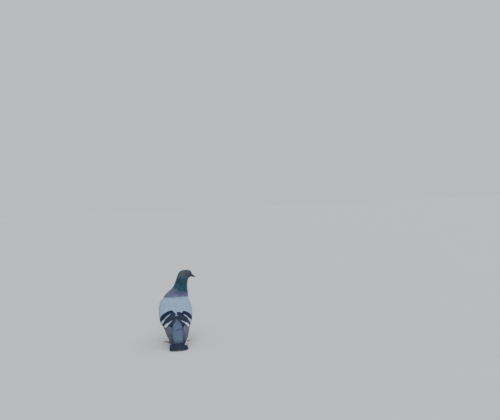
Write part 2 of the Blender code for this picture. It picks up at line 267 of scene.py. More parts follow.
def spaced_out(points, spacing):
    """Which points to keep, in their order, so that none is nearer than its spacing to an earlier one."""
    cell = float(np.max(spacing))
    keys = np.floor(points / cell).astype(int).tolist()
    near = [(i, j, k) for i in (-1, 0, 1) for j in (-1, 0, 1) for k in (-1, 0, 1)]
    cells, kept = {}, []
    for index, (key, p, gap) in enumerate(zip(keys, points.tolist(), (spacing**2).tolist())):
        free = True
        for i, j, k in near:
            for q in cells.get((key[0] + i, key[1] + j, key[2] + k), ()):
                if (p[0] - q[0]) ** 2 + (p[1] - q[1]) ** 2 + (p[2] - q[2]) ** 2 < gap:
                    free = False
                    break
            if not free:
                break
        if free:
            cells.setdefault(tuple(key), []).append(p)
            kept.append(index)
    return np.array(kept, int)


# ---------------------------------------------------------------- the spine, and the way feathers lie

SPINE = [  # x, towards the tail, up, then the way the back faces
    (*from_trunk(0, -92, 84), *SPAN_UP),
    (*from_trunk(0, -50, 84), *SPAN_UP),
    (*from_trunk(0, -5, 77), *SPAN_UP),
    (*from_trunk(0, 35, 63), *SPAN_UP),
    (*from_trunk(0, 72, 53), *SPAN_UP),
    (*from_trunk(0, 102, 52), *SPAN_UP),
    (-3.0, -54.0, 137.0, 0, 0.82, 0.57),
    (-8.5, -52.5, 158.0, 0.14, 0.92, 0.37),
    (-18.2, -47.0, 177.5, 0.41, 0.89, 0.2),
    (-24.0, -41.5, 193.5, 0.70, 0.70, 0.12),
    (-27.2, -37.0, 207.0, 0.90, 0.42, 0.1),
    (-30.0, -36.4, 219.0, 0.95, 0.2, 0.3),
    (-37.0, -36.1, 229.0, 0.6, 0.1, 0.8),
    (-46.0, -35.5, 233.0, 0.25, 0, 0.97),
    (-56.0, -34.8, 233.0, 0.24, 0, 0.97),
    (-72.0, -33.5, 229.0, 0.24, 0, 0.97),
]
SPINE_STEPS = 12
SPINE_REACH = 12.0  # how widely the bends of the spine are blended


class Spine:
    def __init__(self):
        rows = np.array(SPINE, float)
        t = np.linspace(0, len(rows) - 1, (len(rows) - 1) * SPINE_STEPS + 1)
        i = np.clip(t.astype(int), 0, len(rows) - 2)
        u = (t - i)[:, None]
        before, after = rows[np.maximum(i - 1, 0)], rows[np.minimum(i + 2, len(rows) - 1)]
        a, b = rows[i], rows[i + 1]
        smooth = 0.5 * (
            2 * a
            + (b - before) * u
            + (2 * before - 5 * a + 4 * b - after) * u**2
            + (3 * a - 3 * b + after - before) * u**3
        )
        self.points, self.backs = smooth[:, :3], unit(smooth[:, 3:])
        self.tangents = unit(np.gradient(self.points, axis=0))
        steps = np.linalg.norm(np.diff(self.points, axis=0), axis=1)
        self.reach = np.concatenate([[0], np.cumsum(steps)])

    def blend(self, points):
        away = ((points[:, None, :] - self.points[None]) ** 2).sum(axis=2)
        weights = np.exp(-(away - away.min(axis=1, keepdims=True)) / SPINE_REACH**2)
        return weights / weights.sum(axis=1, keepdims=True)

    def lie(self, points):
        """The way feathers point at each place: towards the tail."""
        return unit(-(self.blend(points) @ self.tangents))

    def unwrap(self, points):
        """Each place on an unwrap of the body: round the spine, and along it."""
        flat = np.asarray(points).reshape(-1, 3)
        weights = self.blend(flat)
        centre, tangent = weights @ self.points, unit(weights @ self.tangents)
        back = weights @ self.backs
        back = unit(back - tangent * (back * tangent).sum(axis=1, keepdims=True))
        side = np.cross(back, tangent)
        off = flat - centre
        round_it = np.arctan2((off * side).sum(axis=1), (off * back).sum(axis=1)) / (2 * math.pi) + 0.5
        along = (weights @ self.reach + (off * tangent).sum(axis=1)) / self.reach[-1]
        return np.stack([0.01 + 0.98 * round_it, np.clip(0.02 + 0.96 * along, 0, 1)], axis=1)


SPINE_LINE = Spine()

# ---------------------------------------------------------------- markings


def round_back(points):
    """How far round the barrel of the body from the middle of the back each point is, in degrees."""
    x, _, out = on_trunk(points)
    return np.degrees(np.arctan2(np.abs(x), out - BARREL_AXIS))


# each line of the wing's pattern, as (degrees round the back, place along the trunk)
UPPER_BAR_TOP = [
    (0, 66), (25, 66), (40, 63.5), (49, 62), (63, 59), (73, 55), (90, 54), (110, 58.5), (125, 63.5),
]
UPPER_BAR_END = [
    (0, 58), (25, 55.5), (40, 49.5), (49, 45.5), (58, 41),
    (63, 40.5), (73, 41), (90, 43), (110, 50), (125, 56),
]
LOWER_BAR_TOP = [
    (0, 61), (10, 60.5), (20, 58.3), (29, 54.5), (40, 45.5), (50, 40.5),
    (60, 31), (72, 29), (85, 34), (100, 43), (115, 53),
]
LOWER_BAR_END = [
    (0, 33), (10, 32), (18, 26), (25, 25), (33, 21.5), (38, 19.5),
    (44, 20), (50, 19), (60, 15), (72, 20), (85, 27), (100, 37),
]
# where the pale tips end; beyond it, to the feathers' tips, lies the painted shadow of the dark ends
PALE_END = [
    (0, 36), (12, 34), (18, 26.8), (25, 23), (33, 18.2), (40, 11),
    (45, 6.5), (50, 5), (56, 9), (60, 14), (72, 18),
]
SECONDARY_TIPS = [
    (0, 34), (8, 31), (15, 21), (25, 12), (38, 4), (50, 5),
    (60, 11), (72, 19), (85, 27), (100, 37), (115, 49), (130, 60),
]


def mixed(a, b, share):
    share = np.asarray(share)[..., None]
    return a * (1 - share) + b * share


def noise(points, scale, seed=0.0):
    """A smooth uneven value from -1 to 1 that drifts over the body."""
    p = np.asarray(points) / scale + seed
    x, y, z = p[..., 0], p[..., 1], p[..., 2]
    a = np.sin(x * 1.7 + 1.3 * np.sin(y * 1.1 + z * 0.7)) * np.cos(z * 1.9 - 0.8 * np.sin(x * 1.3))
    b = np.sin(y * 2.3 + 1.7 * np.cos(z * 1.6 + x * 0.9)) * np.cos(x * 2.9 + y * 0.6)
    return 0.6 * a + 0.4 * b


def colours():
    return bpy.context.scene.pigeon_colours


def rgb(name):
    return np.array(getattr(colours(), name)[:3])


def fold_shadow(points):
    """How dark the slanted crease across the rump is at each place."""
    x, along, out = on_trunk(points)
    crease = np.exp(-(((along + 8 + 0.45 * (x + 3)) / 2.0) ** 2))
    return 0.9 * crease * ramp(-13, -10, x) * ramp(6, 3, x) * (out > 88)


def body_markings(points):
    """The colour and the gloss of the head, neck, mantle, breast, belly and rump at each place."""
    points = np.asarray(points)
    x, along, out = on_trunk(points)
    forward = on_head(points)[1]
    z = points[..., 2]
    phi = round_back(points)
    aside, behind = points[..., 0] + 7, points[..., 1] + 53  # from the middle of the neck's foot
    facing = np.degrees(np.arccos(np.clip(behind / np.hypot(aside, behind), -1, 1)))
    collar = curve(facing, [(0, 153.5), (60, 152), (90, 148), (130, 134), (180, 122)])
    green_from = 181.6 + 0.34 * x - curve(facing, [(0, 0), (100, 0), (180, 14)])
    uneven = noise(points, 9.0)
    belly = mixed(rgb("breast"), rgb("belly"), ramp(90, 40, along))
    base = mixed(rgb("mantle"), belly, ramp(86, 108, phi + 10 * ramp(100, 130, along)))
    lower = mixed(rgb("rump"), rgb("undertail"), ramp(95, 140, phi + 30 * ramp(20, -30, along) * (out < 86)))
    base = mixed(base, lower, ramp(52, 34, along + 4 * uneven))
    base = mixed(base, rgb("bar") * 1.3, fold_shadow(points))
    purple = rgb("neck_purple")
    purple = mixed(purple, purple * np.array((1.4, 1.1, 1.2)), ramp(0.1, 0.8, uneven))
    purple = purple * (0.94 + 0.22 * ramp(10, 26, np.abs(x + 6)))[..., None]
    green = rgb("neck_green")
    green = mixed(green, green * np.array((0.5, 0.6, 0.65)), ramp(0.0, 0.9, noise(points, 5.0, 3.1)))
    green = green * (1 + 0.35 * ramp(208, 190, z))[..., None]
    base = mixed(base, purple, ramp(collar - 1.2, collar + 1.6, z + 0.8 * uneven))
    base = mixed(base, green, ramp(green_from - 6, green_from + 6, z + 5.0 * uneven))
    head_from = 218 + 0.4 * (x + 30)
    head = mixed(rgb("head"), rgb("head") * 0.7, ramp(4, 12, forward))
    base = mixed(base, head, ramp(head_from - 9, head_from + 9, z + 2 * uneven))
    gloss = ramp(collar - 3, collar + 6, z) * (1 - 0.85 * ramp(head_from - 8, head_from + 8, z))
    return base, gloss


def wing_markings(points):
    """The colour of the folded wing's coverts, secondaries and tertials at each place, and how far inside the
    dark bars, the pale tips and the dark ends (a painted shadow below the pale tips) it is, in millimetres."""
    points = np.asarray(points)
    x, along, _ = on_trunk(points)
    phi = round_back(points)
    ahead = along - 1.5 * (x > 0)
    between = curve(phi, UPPER_BAR_END) - ahead
    base = mixed(rgb("mantle"), rgb("pale_tip"), 0.6 * ramp(36, 54, phi) * ramp(-1, 1, between))
    base = mixed(base, rgb("mantle") * 0.95, ramp(0.2, 0.9, noise(points, 8.0, 1.7)))
    low, tip = curve(phi, LOWER_BAR_END), curve(phi, PALE_END)
    # the mantle runs down in a notch between the wings: slanted on the left, where the bars join, and
    # steep on the right
    notch = np.where(x > 0, 0.58 * (52 - along) + 0.81 * (x - 1), np.maximum(-2 - x, 52 - along))
    left_top = 12 * ramp(19, 15, phi) - 3.2 * ramp(48, 30, phi)
    lower = np.minimum(curve(phi, LOWER_BAR_TOP) + left_top * (x > 0) - ahead, ahead - low)
    upper = np.minimum(curve(phi, UPPER_BAR_TOP) + 1.5 - ahead, 1.5 * (x > 0) - between)
    upper = np.minimum(upper, np.where(x > 0, notch, (phi - 28.5 - 0.9 * (along - 60)) * 0.9))
    pale = np.minimum(low - ahead, np.minimum((phi - 21) * 0.5, (58 - phi) * 0.5))
    off = np.abs(x)
    chevron = 1.9 * (1 - off / 6.8) - np.abs(along - 46.9 + 0.3 * off)
    lower = np.minimum(np.minimum(lower, notch), -chevron)
    # the third mark is the dark end: a painted shadow below the pale tips
    marks = np.stack([np.maximum(lower, upper), pale, tip - ahead], axis=-1)
    return base, marks


NO_MARKS = np.array((-5.0, -5.0, -5.0))


def markings(points, region):
    """The colour, gloss and marks at each place, by the part of the body that it is on."""
    base, gloss = body_markings(points)
    on_wing = np.char.startswith(region, "wing")
    wing, marks = wing_markings(points)
    marks = np.where(on_wing[..., None], marks, NO_MARKS)
    return np.where(on_wing[..., None], wing, base), np.where(on_wing, 0.0, gloss), marks


# ---------------------------------------------------------------- the shapes everything is laid on

FLESH_ENDS = {"rump": -38.0, "tail": -38.0, "wing_left": 14.0, "wing_right": 14.0}  # only feathers go further
FORM_VOXEL = 1.1
FORM_REACH = 2.0  # the shapes are swollen by this to join them, and the whole is drawn in again
GROOVE = 0.9  # the outline bridges what lies further in than this
FIT_STEP = 0.5  # how far one pass of fitting moves it


class Body:
    """The outline of the coat, with which part of the body each bit of it is on."""

    def __init__(self):
        parts = [trimmed(mm_bmesh(name), FLESH_ENDS.get(name, -90.0)) for name in [*COAT_NODES, "tail"]]
        parts = [swollen(part, FORM_REACH) for part in parts]
        parts += [swollen(mm_bmesh(f"eye_{side}"), 1.0) for side in SIDES]
        form = swollen(remeshed(joined(parts), FORM_VOXEL, 2), -FORM_REACH)
        shapes, owners = [], []
        for index, name in enumerate(COAT_NODES):
            bm = mm_bmesh(name)
            bmesh.ops.triangulate(bm, faces=bm.faces)
            owners += [index] * len(bm.faces)
            shapes.append(bm)
        whole = joined(shapes)
        self.cad, self.owners, self.names = BVHTree.FromBMesh(whole), np.array(owners), np.array(COAT_NODES)
        whole.free()
        for _ in range(3):
            smoothed(form, 1)
            self.fit(form)
        self.ease(form)
        smoothed(form, 3)
        form.normal_update()
        self.form = Surface(form)
        self.bm = form
        self.face_centre = self.form.points[self.form.corners].mean(axis=1)
        self.face_region = self.region(self.face_centre)
        self.shells = {}

    def fit(self, form):
        """Draws the outline back to the frame's own, except where it bridges a groove."""
        form.normal_update()
        for vert in form.verts:
            at, _, _, away = self.cad.find_nearest(vert.co)
            if away < GROOVE:
                vert.co += vert.normal * max(-FIT_STEP, min(FIT_STEP, (at - vert.co).dot(vert.normal)))

    def ease(self, form):
        """Rounds off the step where the folded wing leaves the mantle and the breast."""
        form.verts.ensure_lookup_table()
        points = places(form)
        wing = np.char.startswith(self.region(points), "wing")
        ends = np.array([[e.verts[0].index, e.verts[1].index] for e in form.edges])
        crossing = ends[wing[ends[:, 0]] != wing[ends[:, 1]]].ravel()
        steps = KDTree(len(crossing))
        for index, vert in enumerate(crossing.tolist()):
            steps.insert(points[vert].tolist(), index)
        steps.balance()
        along = on_trunk(points)[1]
        near = np.array([steps.find(p)[2] for p in points.tolist()])
        for reach, from_along, times in ((14.0, 84, 24), (12.0, 60, 12), (8.0, 44, 8), (5.0, 44, 8)):
            band = [form.verts[i] for i in np.flatnonzero((near < reach) & (along > from_along)).tolist()]
            smoothed(form, times, band)

    def region(self, points):
        found = [self.cad.find_nearest(p)[2] for p in np.asarray(points).reshape(-1, 3).tolist()]
        return self.names[self.owners[found]].reshape(np.shape(points)[:-1])

    def shell(self, *names):
        """The outer faces of some frame nodes, to drop flight feathers and coverts on."""
        if names not in self.shells:
            whole = joined([mm_bmesh(name) for name in names])
            self.shells[names] = BVHTree.FromBMesh(whole)
            whole.free()
        return self.shells[names]


_shared = {}


def body():
    if "body" not in _shared:
        _shared["body"] = Body()
    return _shared["body"]


def sizes():
    return bpy.context.scene.pigeon_sizes


# ---------------------------------------------------------------- feathers


class Vane:
    """A thin closed vane: two grids back to back, joined round the rim."""

    def __init__(self, columns, rows):
        bm = bmesh.new()
        for side in (1, -1):
            made = bmesh.ops.create_grid(bm, x_segments=columns - 1, y_segments=rows - 1, size=1.0)["verts"]
            inner = [v for v in made if max(abs(v.co.x), abs(v.co.y)) < 0.999]
            bmesh.ops.translate(bm, verts=inner, vec=(0, 0, side * 0.5))
            if side < 0:
                bmesh.ops.reverse_faces(bm, faces=list({f for v in made for f in v.link_faces}))
        bmesh.ops.remove_doubles(bm, verts=bm.verts, dist=1e-4)
        bm.verts.index_update()
        co = np.array([v.co[:] for v in bm.verts])
        self.columns, self.rows = columns, rows
        self.column = np.rint((co[:, 0] + 1) / 2 * (columns - 1)).astype(int)
        self.row = np.rint((co[:, 1] + 1) / 2 * (rows - 1)).astype(int)
        self.side = co[:, 2]
        self.faces = np.array([[v.index for v in f.verts] for f in bm.faces])
        self.across = np.linspace(-1, 1, columns)
        bm.free()


class Coat:
    """Feathers of one piece, gathered as arrays and then made one mesh."""

    def __init__(self):
        self.points, self.faces, self.colours, self.vanes, self.gloss, self.patches = [], [], [], [], [], []
        self.marks, self.outs = [], []
        self.count = 0

    def add(self, vane, grid, out, height, thickness, colour, gloss, marks, along, seeds, patch):
        """Adds feathers. grid holds (feather, row, column) places on the form, out the way out there, height
        the lift of each (row, column), thickness the lens by row, colour and gloss each row's, marks each
        (row, column)'s, along each row's share of the length, and patch the feather's (u, v, width, height)
        on the unwrap."""
        n = len(grid)
        row, column = vane.row, vane.column
        lift = height[:, row, column] + vane.side * thickness[:, row]
        points = grid[:, row, column] + out[:, row, column] * lift[..., None]
        s = vane.across[column]
        t = along[row]
        self.points.append(points.reshape(-1, 3))
        first = self.count + np.arange(n) * len(row)
        self.faces.append((vane.faces[None] + first[:, None, None]).reshape(-1, 4))
        self.colours.append(colour[:, row].reshape(-1, 3))
        self.gloss.append(gloss[:, row].reshape(-1))
        self.marks.append(marks[:, row, column].reshape(-1, 3))
        self.outs.append((out[:, row, column] * np.where(vane.side < 0, -1, 1)[:, None]).reshape(-1, 3))
        self.vanes.append(np.stack(np.broadcast_arrays(s, t, seeds[:, None]), axis=2).reshape(-1, 3))
        u = patch[:, 0, None] + s * 0.5 * patch[:, 2, None]
        v = patch[:, 1, None] + (t - 0.5) * patch[:, 3, None]
        self.patches.append(np.stack([u, v], axis=2).reshape(-1, 2))
        self.count += n * len(row)

    def piece(self, name, finish, soft=0.75):
        """The mesh of all the feathers. soft is how far they are shaded by the form under them."""
        mesh = bpy.data.meshes.new(name)
        points = in_metres(np.concatenate(self.points))
        faces = np.concatenate(self.faces)
        mesh.vertices.add(len(points))
        mesh.vertices.foreach_set("co", points.astype(np.float32).ravel())
        mesh.loops.add(faces.size)
        mesh.loops.foreach_set("vertex_index", faces.astype(np.int32).ravel())
        mesh.polygons.add(len(faces))
        mesh.polygons.foreach_set("loop_start", np.arange(0, faces.size, 4, dtype=np.int32))
        mesh.update(calc_edges=True)
        mesh.polygons.foreach_set("use_smooth", np.ones(len(faces), bool))
        set_markings(mesh, *(np.concatenate(rows) for rows in (self.colours, self.gloss, self.marks)))
        set_points(mesh, "vane", "FLOAT_VECTOR", np.concatenate(self.vanes))
        patches = np.concatenate(self.patches)
        bake_map = mesh.uv_layers.new(name="OFBake")
        bake_map.data.foreach_set("uv", patches[faces.ravel()].astype(np.float32).ravel())
        mesh.materials.append(finish)
        own = np.array([n.vector[:] for n in mesh.vertex_normals])
        shaded = unit(own * (1 - soft) + np.concatenate(self.outs) * soft)
        mesh.normals_split_custom_set_from_vertices(shaded.tolist())
        return placed(name, mesh)


POINT_FIELDS = {"FLOAT_COLOR": "color", "FLOAT": "value", "FLOAT_VECTOR": "vector"}


def set_points(mesh, name, kind, values):
    """Gives each point of a mesh a value for its material to read."""
    layer = mesh.attributes.new(name, kind, "POINT")
    layer.data.foreach_set(POINT_FIELDS[kind], values.astype(np.float32).ravel())


def set_markings(mesh, colour, gloss, marks):
    opaque = np.concatenate([np.clip(colour, 0, 1), np.ones((len(colour), 1))], axis=1)
    set_points(mesh, "plumage", "FLOAT_COLOR", opaque)
    set_points(mesh, "gloss", "FLOAT", gloss)
    set_points(mesh, "marks", "FLOAT_VECTOR", marks)


def placed(name, mesh):
    """A new piece of the bird, riding on its one body."""
    obj = bpy.data.objects.new(name, mesh)
    bpy.context.scene.collection.objects.link(obj)
    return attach(obj, "root")


def as_mesh(bm, name):
    """A finished mesh in metres from a bmesh in the bird's own axes, which is used up."""
    bmesh.ops.transform(bm, matrix=Matrix.Scale(MM, 4) @ Matrix.Translation(Vector(ORIGIN)), verts=bm.verts)
    for face in bm.faces:
        face.smooth = True
    mesh = bpy.data.meshes.new(name)
    bm.to_mesh(mesh)
    bm.free()
    return mesh


SMALL_VANE_ALONG = np.array((0.0, 0.34, 0.62, 0.82, 0.94, 1.0))
SMALL_VANE_WIDTH = np.array((0.45, 0.85, 1.0, 0.88, 0.6, 0.22))


def turned(v, about, angle):
    """Each vector turned about its own axis."""
    angle = angle[..., None]
    return v * np.cos(angle) + np.cross(about, v) * np.sin(angle)


def lay_small(coat, vane, roots, faces, spacing, style, random):
    """Lays contour feathers from their roots over the form, each the way the coat lies there."""
    form = body().form
    count = len(roots)
    regions = body().face_region[faces]
    heading = SPINE_LINE.lie(roots)
    legs = np.char.startswith(regions, "thigh")
    heading = np.where(legs[:, None], unit(heading + np.array((0, 0.1, -1.6))), heading)
    at, out = form.nearest(roots)
    # on the face they stream back from the root of the bill
    face = ramp(0, 11, on_head(at)[1]) * (regions == "head")
    heading = mixed(heading, unit(at - from_head(0, 22, -6)), face)
    length = style["length"] * spacing * random.uniform(0.88, 1.12, count)
    width = style["width"] * spacing * random.uniform(0.9, 1.1, count)
    # round the eyes the feathers part, and stay clear of the lids
    side, forward, up = on_head(at)
    off_eye = np.hypot(forward, up)
    near_eye = (np.abs(side) > 5) & (off_eye < 14) & (regions == "head")
    away = unit(at - np.where(side[:, None] > 0, from_head(8.0, 0, 0), from_head(-8.0, 0, 0)))
    push = np.where(near_eye, 1.6 * np.exp(-(off_eye - 5.5) / 2.5), 0)
    heading = unit(heading + away * push[:, None])
    length = np.where(near_eye, np.minimum(length, 1.0 + 0.75 * np.abs(off_eye - 4.0)), length)
    heading = unit(heading - out * (heading * out).sum(axis=1, keepdims=True))
    heading = turned(heading, out, random.normal(0, style["unruly"], count))
    rows = vane.rows
    grid = np.zeros((count, rows, vane.columns, 3))
    outs = np.zeros_like(grid)
    middle = vane.columns // 2
    fray = style["fray"] * length[:, None] * random.uniform(-0.7, 0.3, (count, vane.columns))
    here, up_here = at, out
    for row in range(rows):
        if row:
            here = here + heading * (length * (SMALL_VANE_ALONG[row] - SMALL_VANE_ALONG[row - 1]))[:, None]
            here, up_here = form.nearest(here)
            heading = unit(heading - up_here * (heading * up_here).sum(axis=1, keepdims=True))
        across = np.cross(heading, up_here)
        for column in range(vane.columns):
            if column == middle:
                grid[:, row, column], outs[:, row, column] = here, up_here
            else:
                off = across * (width * SMALL_VANE_WIDTH[row] * vane.across[column])[:, None]
                grid[:, row, column], outs[:, row, column] = form.nearest(here + off)
        if row >= rows - 2:  # a frayed end
            grid[:, row] += heading[:, None] * (fray * (0.5 if row == rows - 2 else 1.0))[..., None]
    rise = np.abs(((grid - at[:, None, None]) * out[:, None, None]).sum(axis=-1)).max(axis=(1, 2))
    flat = (rise < np.where(regions == "rump", 0.26, 0.45) * length) | (regions == "head")
    t, s = SMALL_VANE_ALONG, vane.across
    depth = style["depth"] * random.uniform(0.85, 1.1, count)
    arch = 0.10 + style["camber"] * s**2
    lift = -depth[:, None, None] * ((1 - t) ** 2)[None, :, None] - arch[None, None, :]
    lift = lift - random.uniform(0, style["jitter"], count)[:, None, None]
    roll = random.normal(0, style["roll"], count)
    lift = lift + roll[:, None, None] * s[None, None, :] * t[None, :, None]
    thickness = np.broadcast_to(np.interp(t, (0, 0.5, 1), (0.30, 0.16, 0.05)) * style["thick"], (count, rows))
    centre = grid[:, :, middle]
    region = np.repeat(regions[:, None], rows, axis=1)
    colour, gloss, marks = markings(centre, region)
    marks = np.repeat(marks[:, :, None], vane.columns, axis=2)
    tone = 1 + style["tone"] * random.normal(0, 1, count)[:, None, None]
    place = SPINE_LINE.unwrap(at)
    patch = np.concatenate([place, np.full((count, 2), 0.003)], axis=1)
    seeds = random.random(count)
    laid = [a[flat] for a in (grid, outs, lift, thickness, colour * tone, gloss, marks)]
    coat.add(vane, *laid, t, seeds[flat], patch[flat])


# spacing is in mm, length and width are shares of it, and fray is a share of the length; depth, camber,
# jitter and roll are in mm, unruly is in radians, and thick and tone are shares
STYLES = {
    "head": dict(
        spacing=0.9, length=5.2, width=0.66, depth=0.9, camber=0.03, jitter=0.03,
        roll=0.015, unruly=0.07, thick=0.4, tone=0.03, fray=0.05,
    ),
    "neck": dict(
        spacing=1.9, length=4.8, width=0.82, depth=1.7, camber=0.05, jitter=0.05,
        roll=0.03, unruly=0.07, thick=0.5, tone=0.06, fray=0.05,
    ),
    "mantle": dict(
        spacing=2.6, length=5.4, width=1.05, depth=1.3, camber=0.05, jitter=0.04,
        roll=0.02, unruly=0.05, thick=0.5, tone=0.012, fray=0.03,
    ),
    "breast": dict(
        spacing=2.7, length=5.0, width=0.95, depth=2.1, camber=0.06, jitter=0.05,
        roll=0.03, unruly=0.07, thick=0.5, tone=0.02, fray=0.05,
    ),
    "rump": dict(
        spacing=2.2, length=5.4, width=0.92, depth=1.3, camber=0.04, jitter=0.05,
        roll=0.02, unruly=0.06, thick=0.4, tone=0.02, fray=0.05,
    ),
    "leg": dict(
        spacing=1.9, length=4.8, width=0.85, depth=1.6, camber=0.06, jitter=0.06,
        roll=0.03, unruly=0.10, thick=0.5, tone=0.02, fray=0.06,
    ),
    "shield": dict(
        spacing=2.9, length=5.1, width=1.08, depth=1.2, camber=0.05, jitter=0.03,
        roll=0.015, unruly=0.03, thick=0.5, tone=0.012, fray=0.02,
    ),
}


def covert_line(phi):
    """How far along the trunk the wing's rows of larger coverts start."""
    return curve(phi, UPPER_BAR_TOP)


def contour_piece(name, style_name, chosen, seed, columns, clear, soft):
    """One piece of contour feathers on the faces chosen by a mask over the form's faces."""
    style = STYLES[style_name]
    random = np.random.default_rng(sizes().seed + seed)
    form, faces = body().form, np.flatnonzero(chosen)
    spacing = style["spacing"]
    wanted = int(9 * body().form.areas[faces].sum() / spacing**2)
    points, picked = form.scattered(faces, wanted, random)
    gaps = np.full(len(points), spacing)
    if style_name == "neck":
        gaps = curve(points[:, 2], [(120, 2.7), (150, 2.4), (185, 1.8), (205, 1.25)])
    if style_name == "head":
        forward = on_head(points)[1]
        gaps = curve(forward, [(-20, 1.15), (-5, 0.95), (10, 0.7)])
    kept = spaced_out(points, gaps)
    if clear is not None:
        kept = kept[clear(points[kept])]
    coat = Coat()
    vane = Vane(columns, len(SMALL_VANE_ALONG))
    lay_small(coat, vane, points[kept], picked[kept], gaps[kept], style, random)
    return coat.piece(name, finish_for("plumage"), soft)


# ---------------------------------------------------------------- large feathers of the wing and tail

LARGE_ALONG = np.array((0, 0.16, 0.32, 0.48, 0.62, 0.74, 0.84, 0.91, 0.96, 0.99, 1.0))
WINGS_MEET = math.radians(7.5)  # how far round the back from the midline the folded wings lie level
MARKS_SPREAD = 0.85  # how far the marks follow the wing across a feather, and don't step at its edge
STRIP_HEIGHT = 0.94  # of a large feather's strip of the OFBake map


def row_places(vane):
    """How far along a large feather each row of its vane is."""
    share = np.linspace(0, 1, len(LARGE_ALONG))
    return np.interp(np.linspace(0, 1, vane.rows), share, LARGE_ALONG)


def strip_patches(place, width):
    """Upright strips of the OFBake map, side by side, as (u, v, width, height)."""
    count = len(place)
    return np.stack([place, np.full(count, 0.5), np.full(count, width), np.full(count, STRIP_HEIGHT)], axis=1)


def eased(values, t, order=3):
    """The values along feathers on the smooth curves nearest to them."""
    powers = np.vander(t, order + 1)
    return np.einsum("ij,nj...->ni...", powers @ np.linalg.pinv(powers), values)


def drop_on(tree, along, phi, sign):
    """The outer face of one wing at these places round the barrel, and which ones it has. Near the midline,
    where the folded wings meet, it is level."""
    held = sign * np.maximum(sign * phi, WINGS_MEET)
    ray = from_trunk(np.sin(held), 0.0, np.cos(held))
    start = from_trunk(0.0, along, BARREL_AXIS) + ray * 110.0
    starts, inward = start.reshape(-1, 3).tolist(), (-ray).reshape(-1, 3).tolist()
    found = [tree.ray_cast(a, b) for a, b in zip(starts, inward)]
    hit = np.array([f[0] is not None for f in found]).reshape(np.shape(phi))
    at = np.array([f[0][:] if f[0] is not None else (0, 0, 0) for f in found]).reshape(start.shape)
    up = on_trunk(at)[2]
    level = from_trunk((up - BARREL_AXIS) * np.tan(phi), along, up)
    return np.where((held != phi)[..., None], level, at), hit


class WingFeather:
    """One covert or flight feather of a folded wing, laid on the shell from its root to its tip."""

    def __init__(self, root, tip, width, profile, sink, layer, bow=0.0):
        self.root, self.tip, self.width, self.profile = root, tip, width, profile
        self.sink, self.layer, self.bow = sink, layer, bow


def lay_large(coat, vane, tree, feathers, sign, marks, strips, random, camber, thick=0.34, offset=0):
    """Lays large feathers in (degrees round the back, along the trunk) places on one wing."""
    t = row_places(vane)
    root = np.array([f.root for f in feathers], float)
    tip = np.array([f.tip for f in feathers], float)
    bow = np.array([f.bow for f in feathers])[:, None]
    phi = root[:, :1] + (tip[:, :1] - root[:, :1]) * t + bow * np.sin(math.pi * t)
    along = root[:, 1:] + (tip[:, 1:] - root[:, 1:]) * t
    phi = np.radians(phi) * sign
    at, hit = drop_on(tree, along, phi, sign)
    for i, j in zip(*np.nonzero(~hit)):  # past the shell's rim: go on level from the last place on it
        other = np.flatnonzero(hit[i])
        if not len(other):
            raise RuntimeError("a large feather lies off its wing")
        k = other[np.argmin(np.abs(other - j))]
        at[i, j] = at[i, k] + SPAN_ON * (along[i, j] - along[i, k])
    x, _, out = on_trunk(at)
    reach = eased(np.hypot(x, out - BARREL_AXIS), t, 4)
    at = from_trunk(np.sin(phi) * reach, along, BARREL_AXIS + np.cos(phi) * reach)
    heading = unit(np.gradient(at, axis=1))
    level = from_trunk(np.cos(phi) * sign, 0.0, -np.sin(phi) * sign)
    across = np.zeros_like(at)
    for step in (1.5, -1.5):
        beside, found = drop_on(tree, along, phi + sign * step / reach, sign)
        run = (beside - at) / step
        found &= np.abs(np.linalg.norm(run, axis=-1) - 1) < 0.8
        across += np.where(found[..., None], run, level)
    across = unit(eased(unit(across), t))
    outward = unit(np.cross(across, heading))
    away = from_trunk(np.sin(phi), 0.0, np.cos(phi))
    outward = outward * np.sign((outward * away).sum(axis=-1, keepdims=True))
    for _ in range(3):
        outward = unit(outward + np.roll(outward, 1, axis=1) * (np.arange(vane.rows) > 0)[None, :, None])
    across = unit(np.cross(heading, outward))
    profile = np.array([np.interp(t, *zip(*f.profile)) for f in feathers])
    width = np.array([f.width for f in feathers])[:, None] * profile
    grid = np.zeros((len(feathers), vane.rows, vane.columns, 3))
    outs = np.repeat(outward[:, :, None], vane.columns, axis=2)
    for column, s in enumerate(vane.across):
        off = width * s
        flat = at + across * off[..., None]
        fx, fa, fo = on_trunk(flat)
        cast, good = drop_on(tree, fa, np.arctan2(fx, fo - BARREL_AXIS), sign)
        drop = ((cast - flat) * outward).sum(axis=-1)
        sag = -(off**2) / 90.0
        drop = eased(np.where(good & (np.abs(drop - sag) < 1.6), drop, sag), t)
        grid[:, :, column] = flat + outward * drop[..., None]
    sink = np.array([f.sink for f in feathers])[:, None, None]
    layer = np.array([f.layer for f in feathers])[:, None, None] + 0.12 * (1 - sign)
    lift = -sink * ((1 - t) ** 2)[None, :, None] - layer - (0.12 + camber * vane.across**2)[None, None, :]
    lens = np.interp(t, (0, 0.5, 1), (1.0, 0.8, 0.3)) * thick
    thickness = np.broadcast_to(lens, (len(feathers), vane.rows))
    middle = grid[:, :, vane.columns // 2]
    colour = marks(middle)[0]
    gloss = np.zeros(colour.shape[:-1])
    edges = marks(middle[:, :, None] * (1 - MARKS_SPREAD) + grid * MARKS_SPREAD)[1]
    tone = 1 + 0.025 * random.normal(0, 1, len(feathers))[:, None, None]
    place = (np.arange(len(feathers)) + offset + 0.5) / strips
    patch = strip_patches(place, 0.8 / strips)
    seeds = random.random(len(feathers))
    coat.add(vane, grid, outs, lift, thickness, colour * tone, gloss, edges, t, seeds, patch)
    return at, outward, t, lift[:, :, vane.columns // 2]


ROUNDED = [(0, 0.3), (0.2, 0.8), (0.5, 1.0), (0.8, 0.97), (0.91, 0.8), (0.97, 0.52), (1, 0.12)]
BLADE = [(0, 0.35), (0.25, 0.85), (0.6, 1.0), (0.84, 0.95), (0.93, 0.74), (0.97, 0.48), (1, 0.1)]


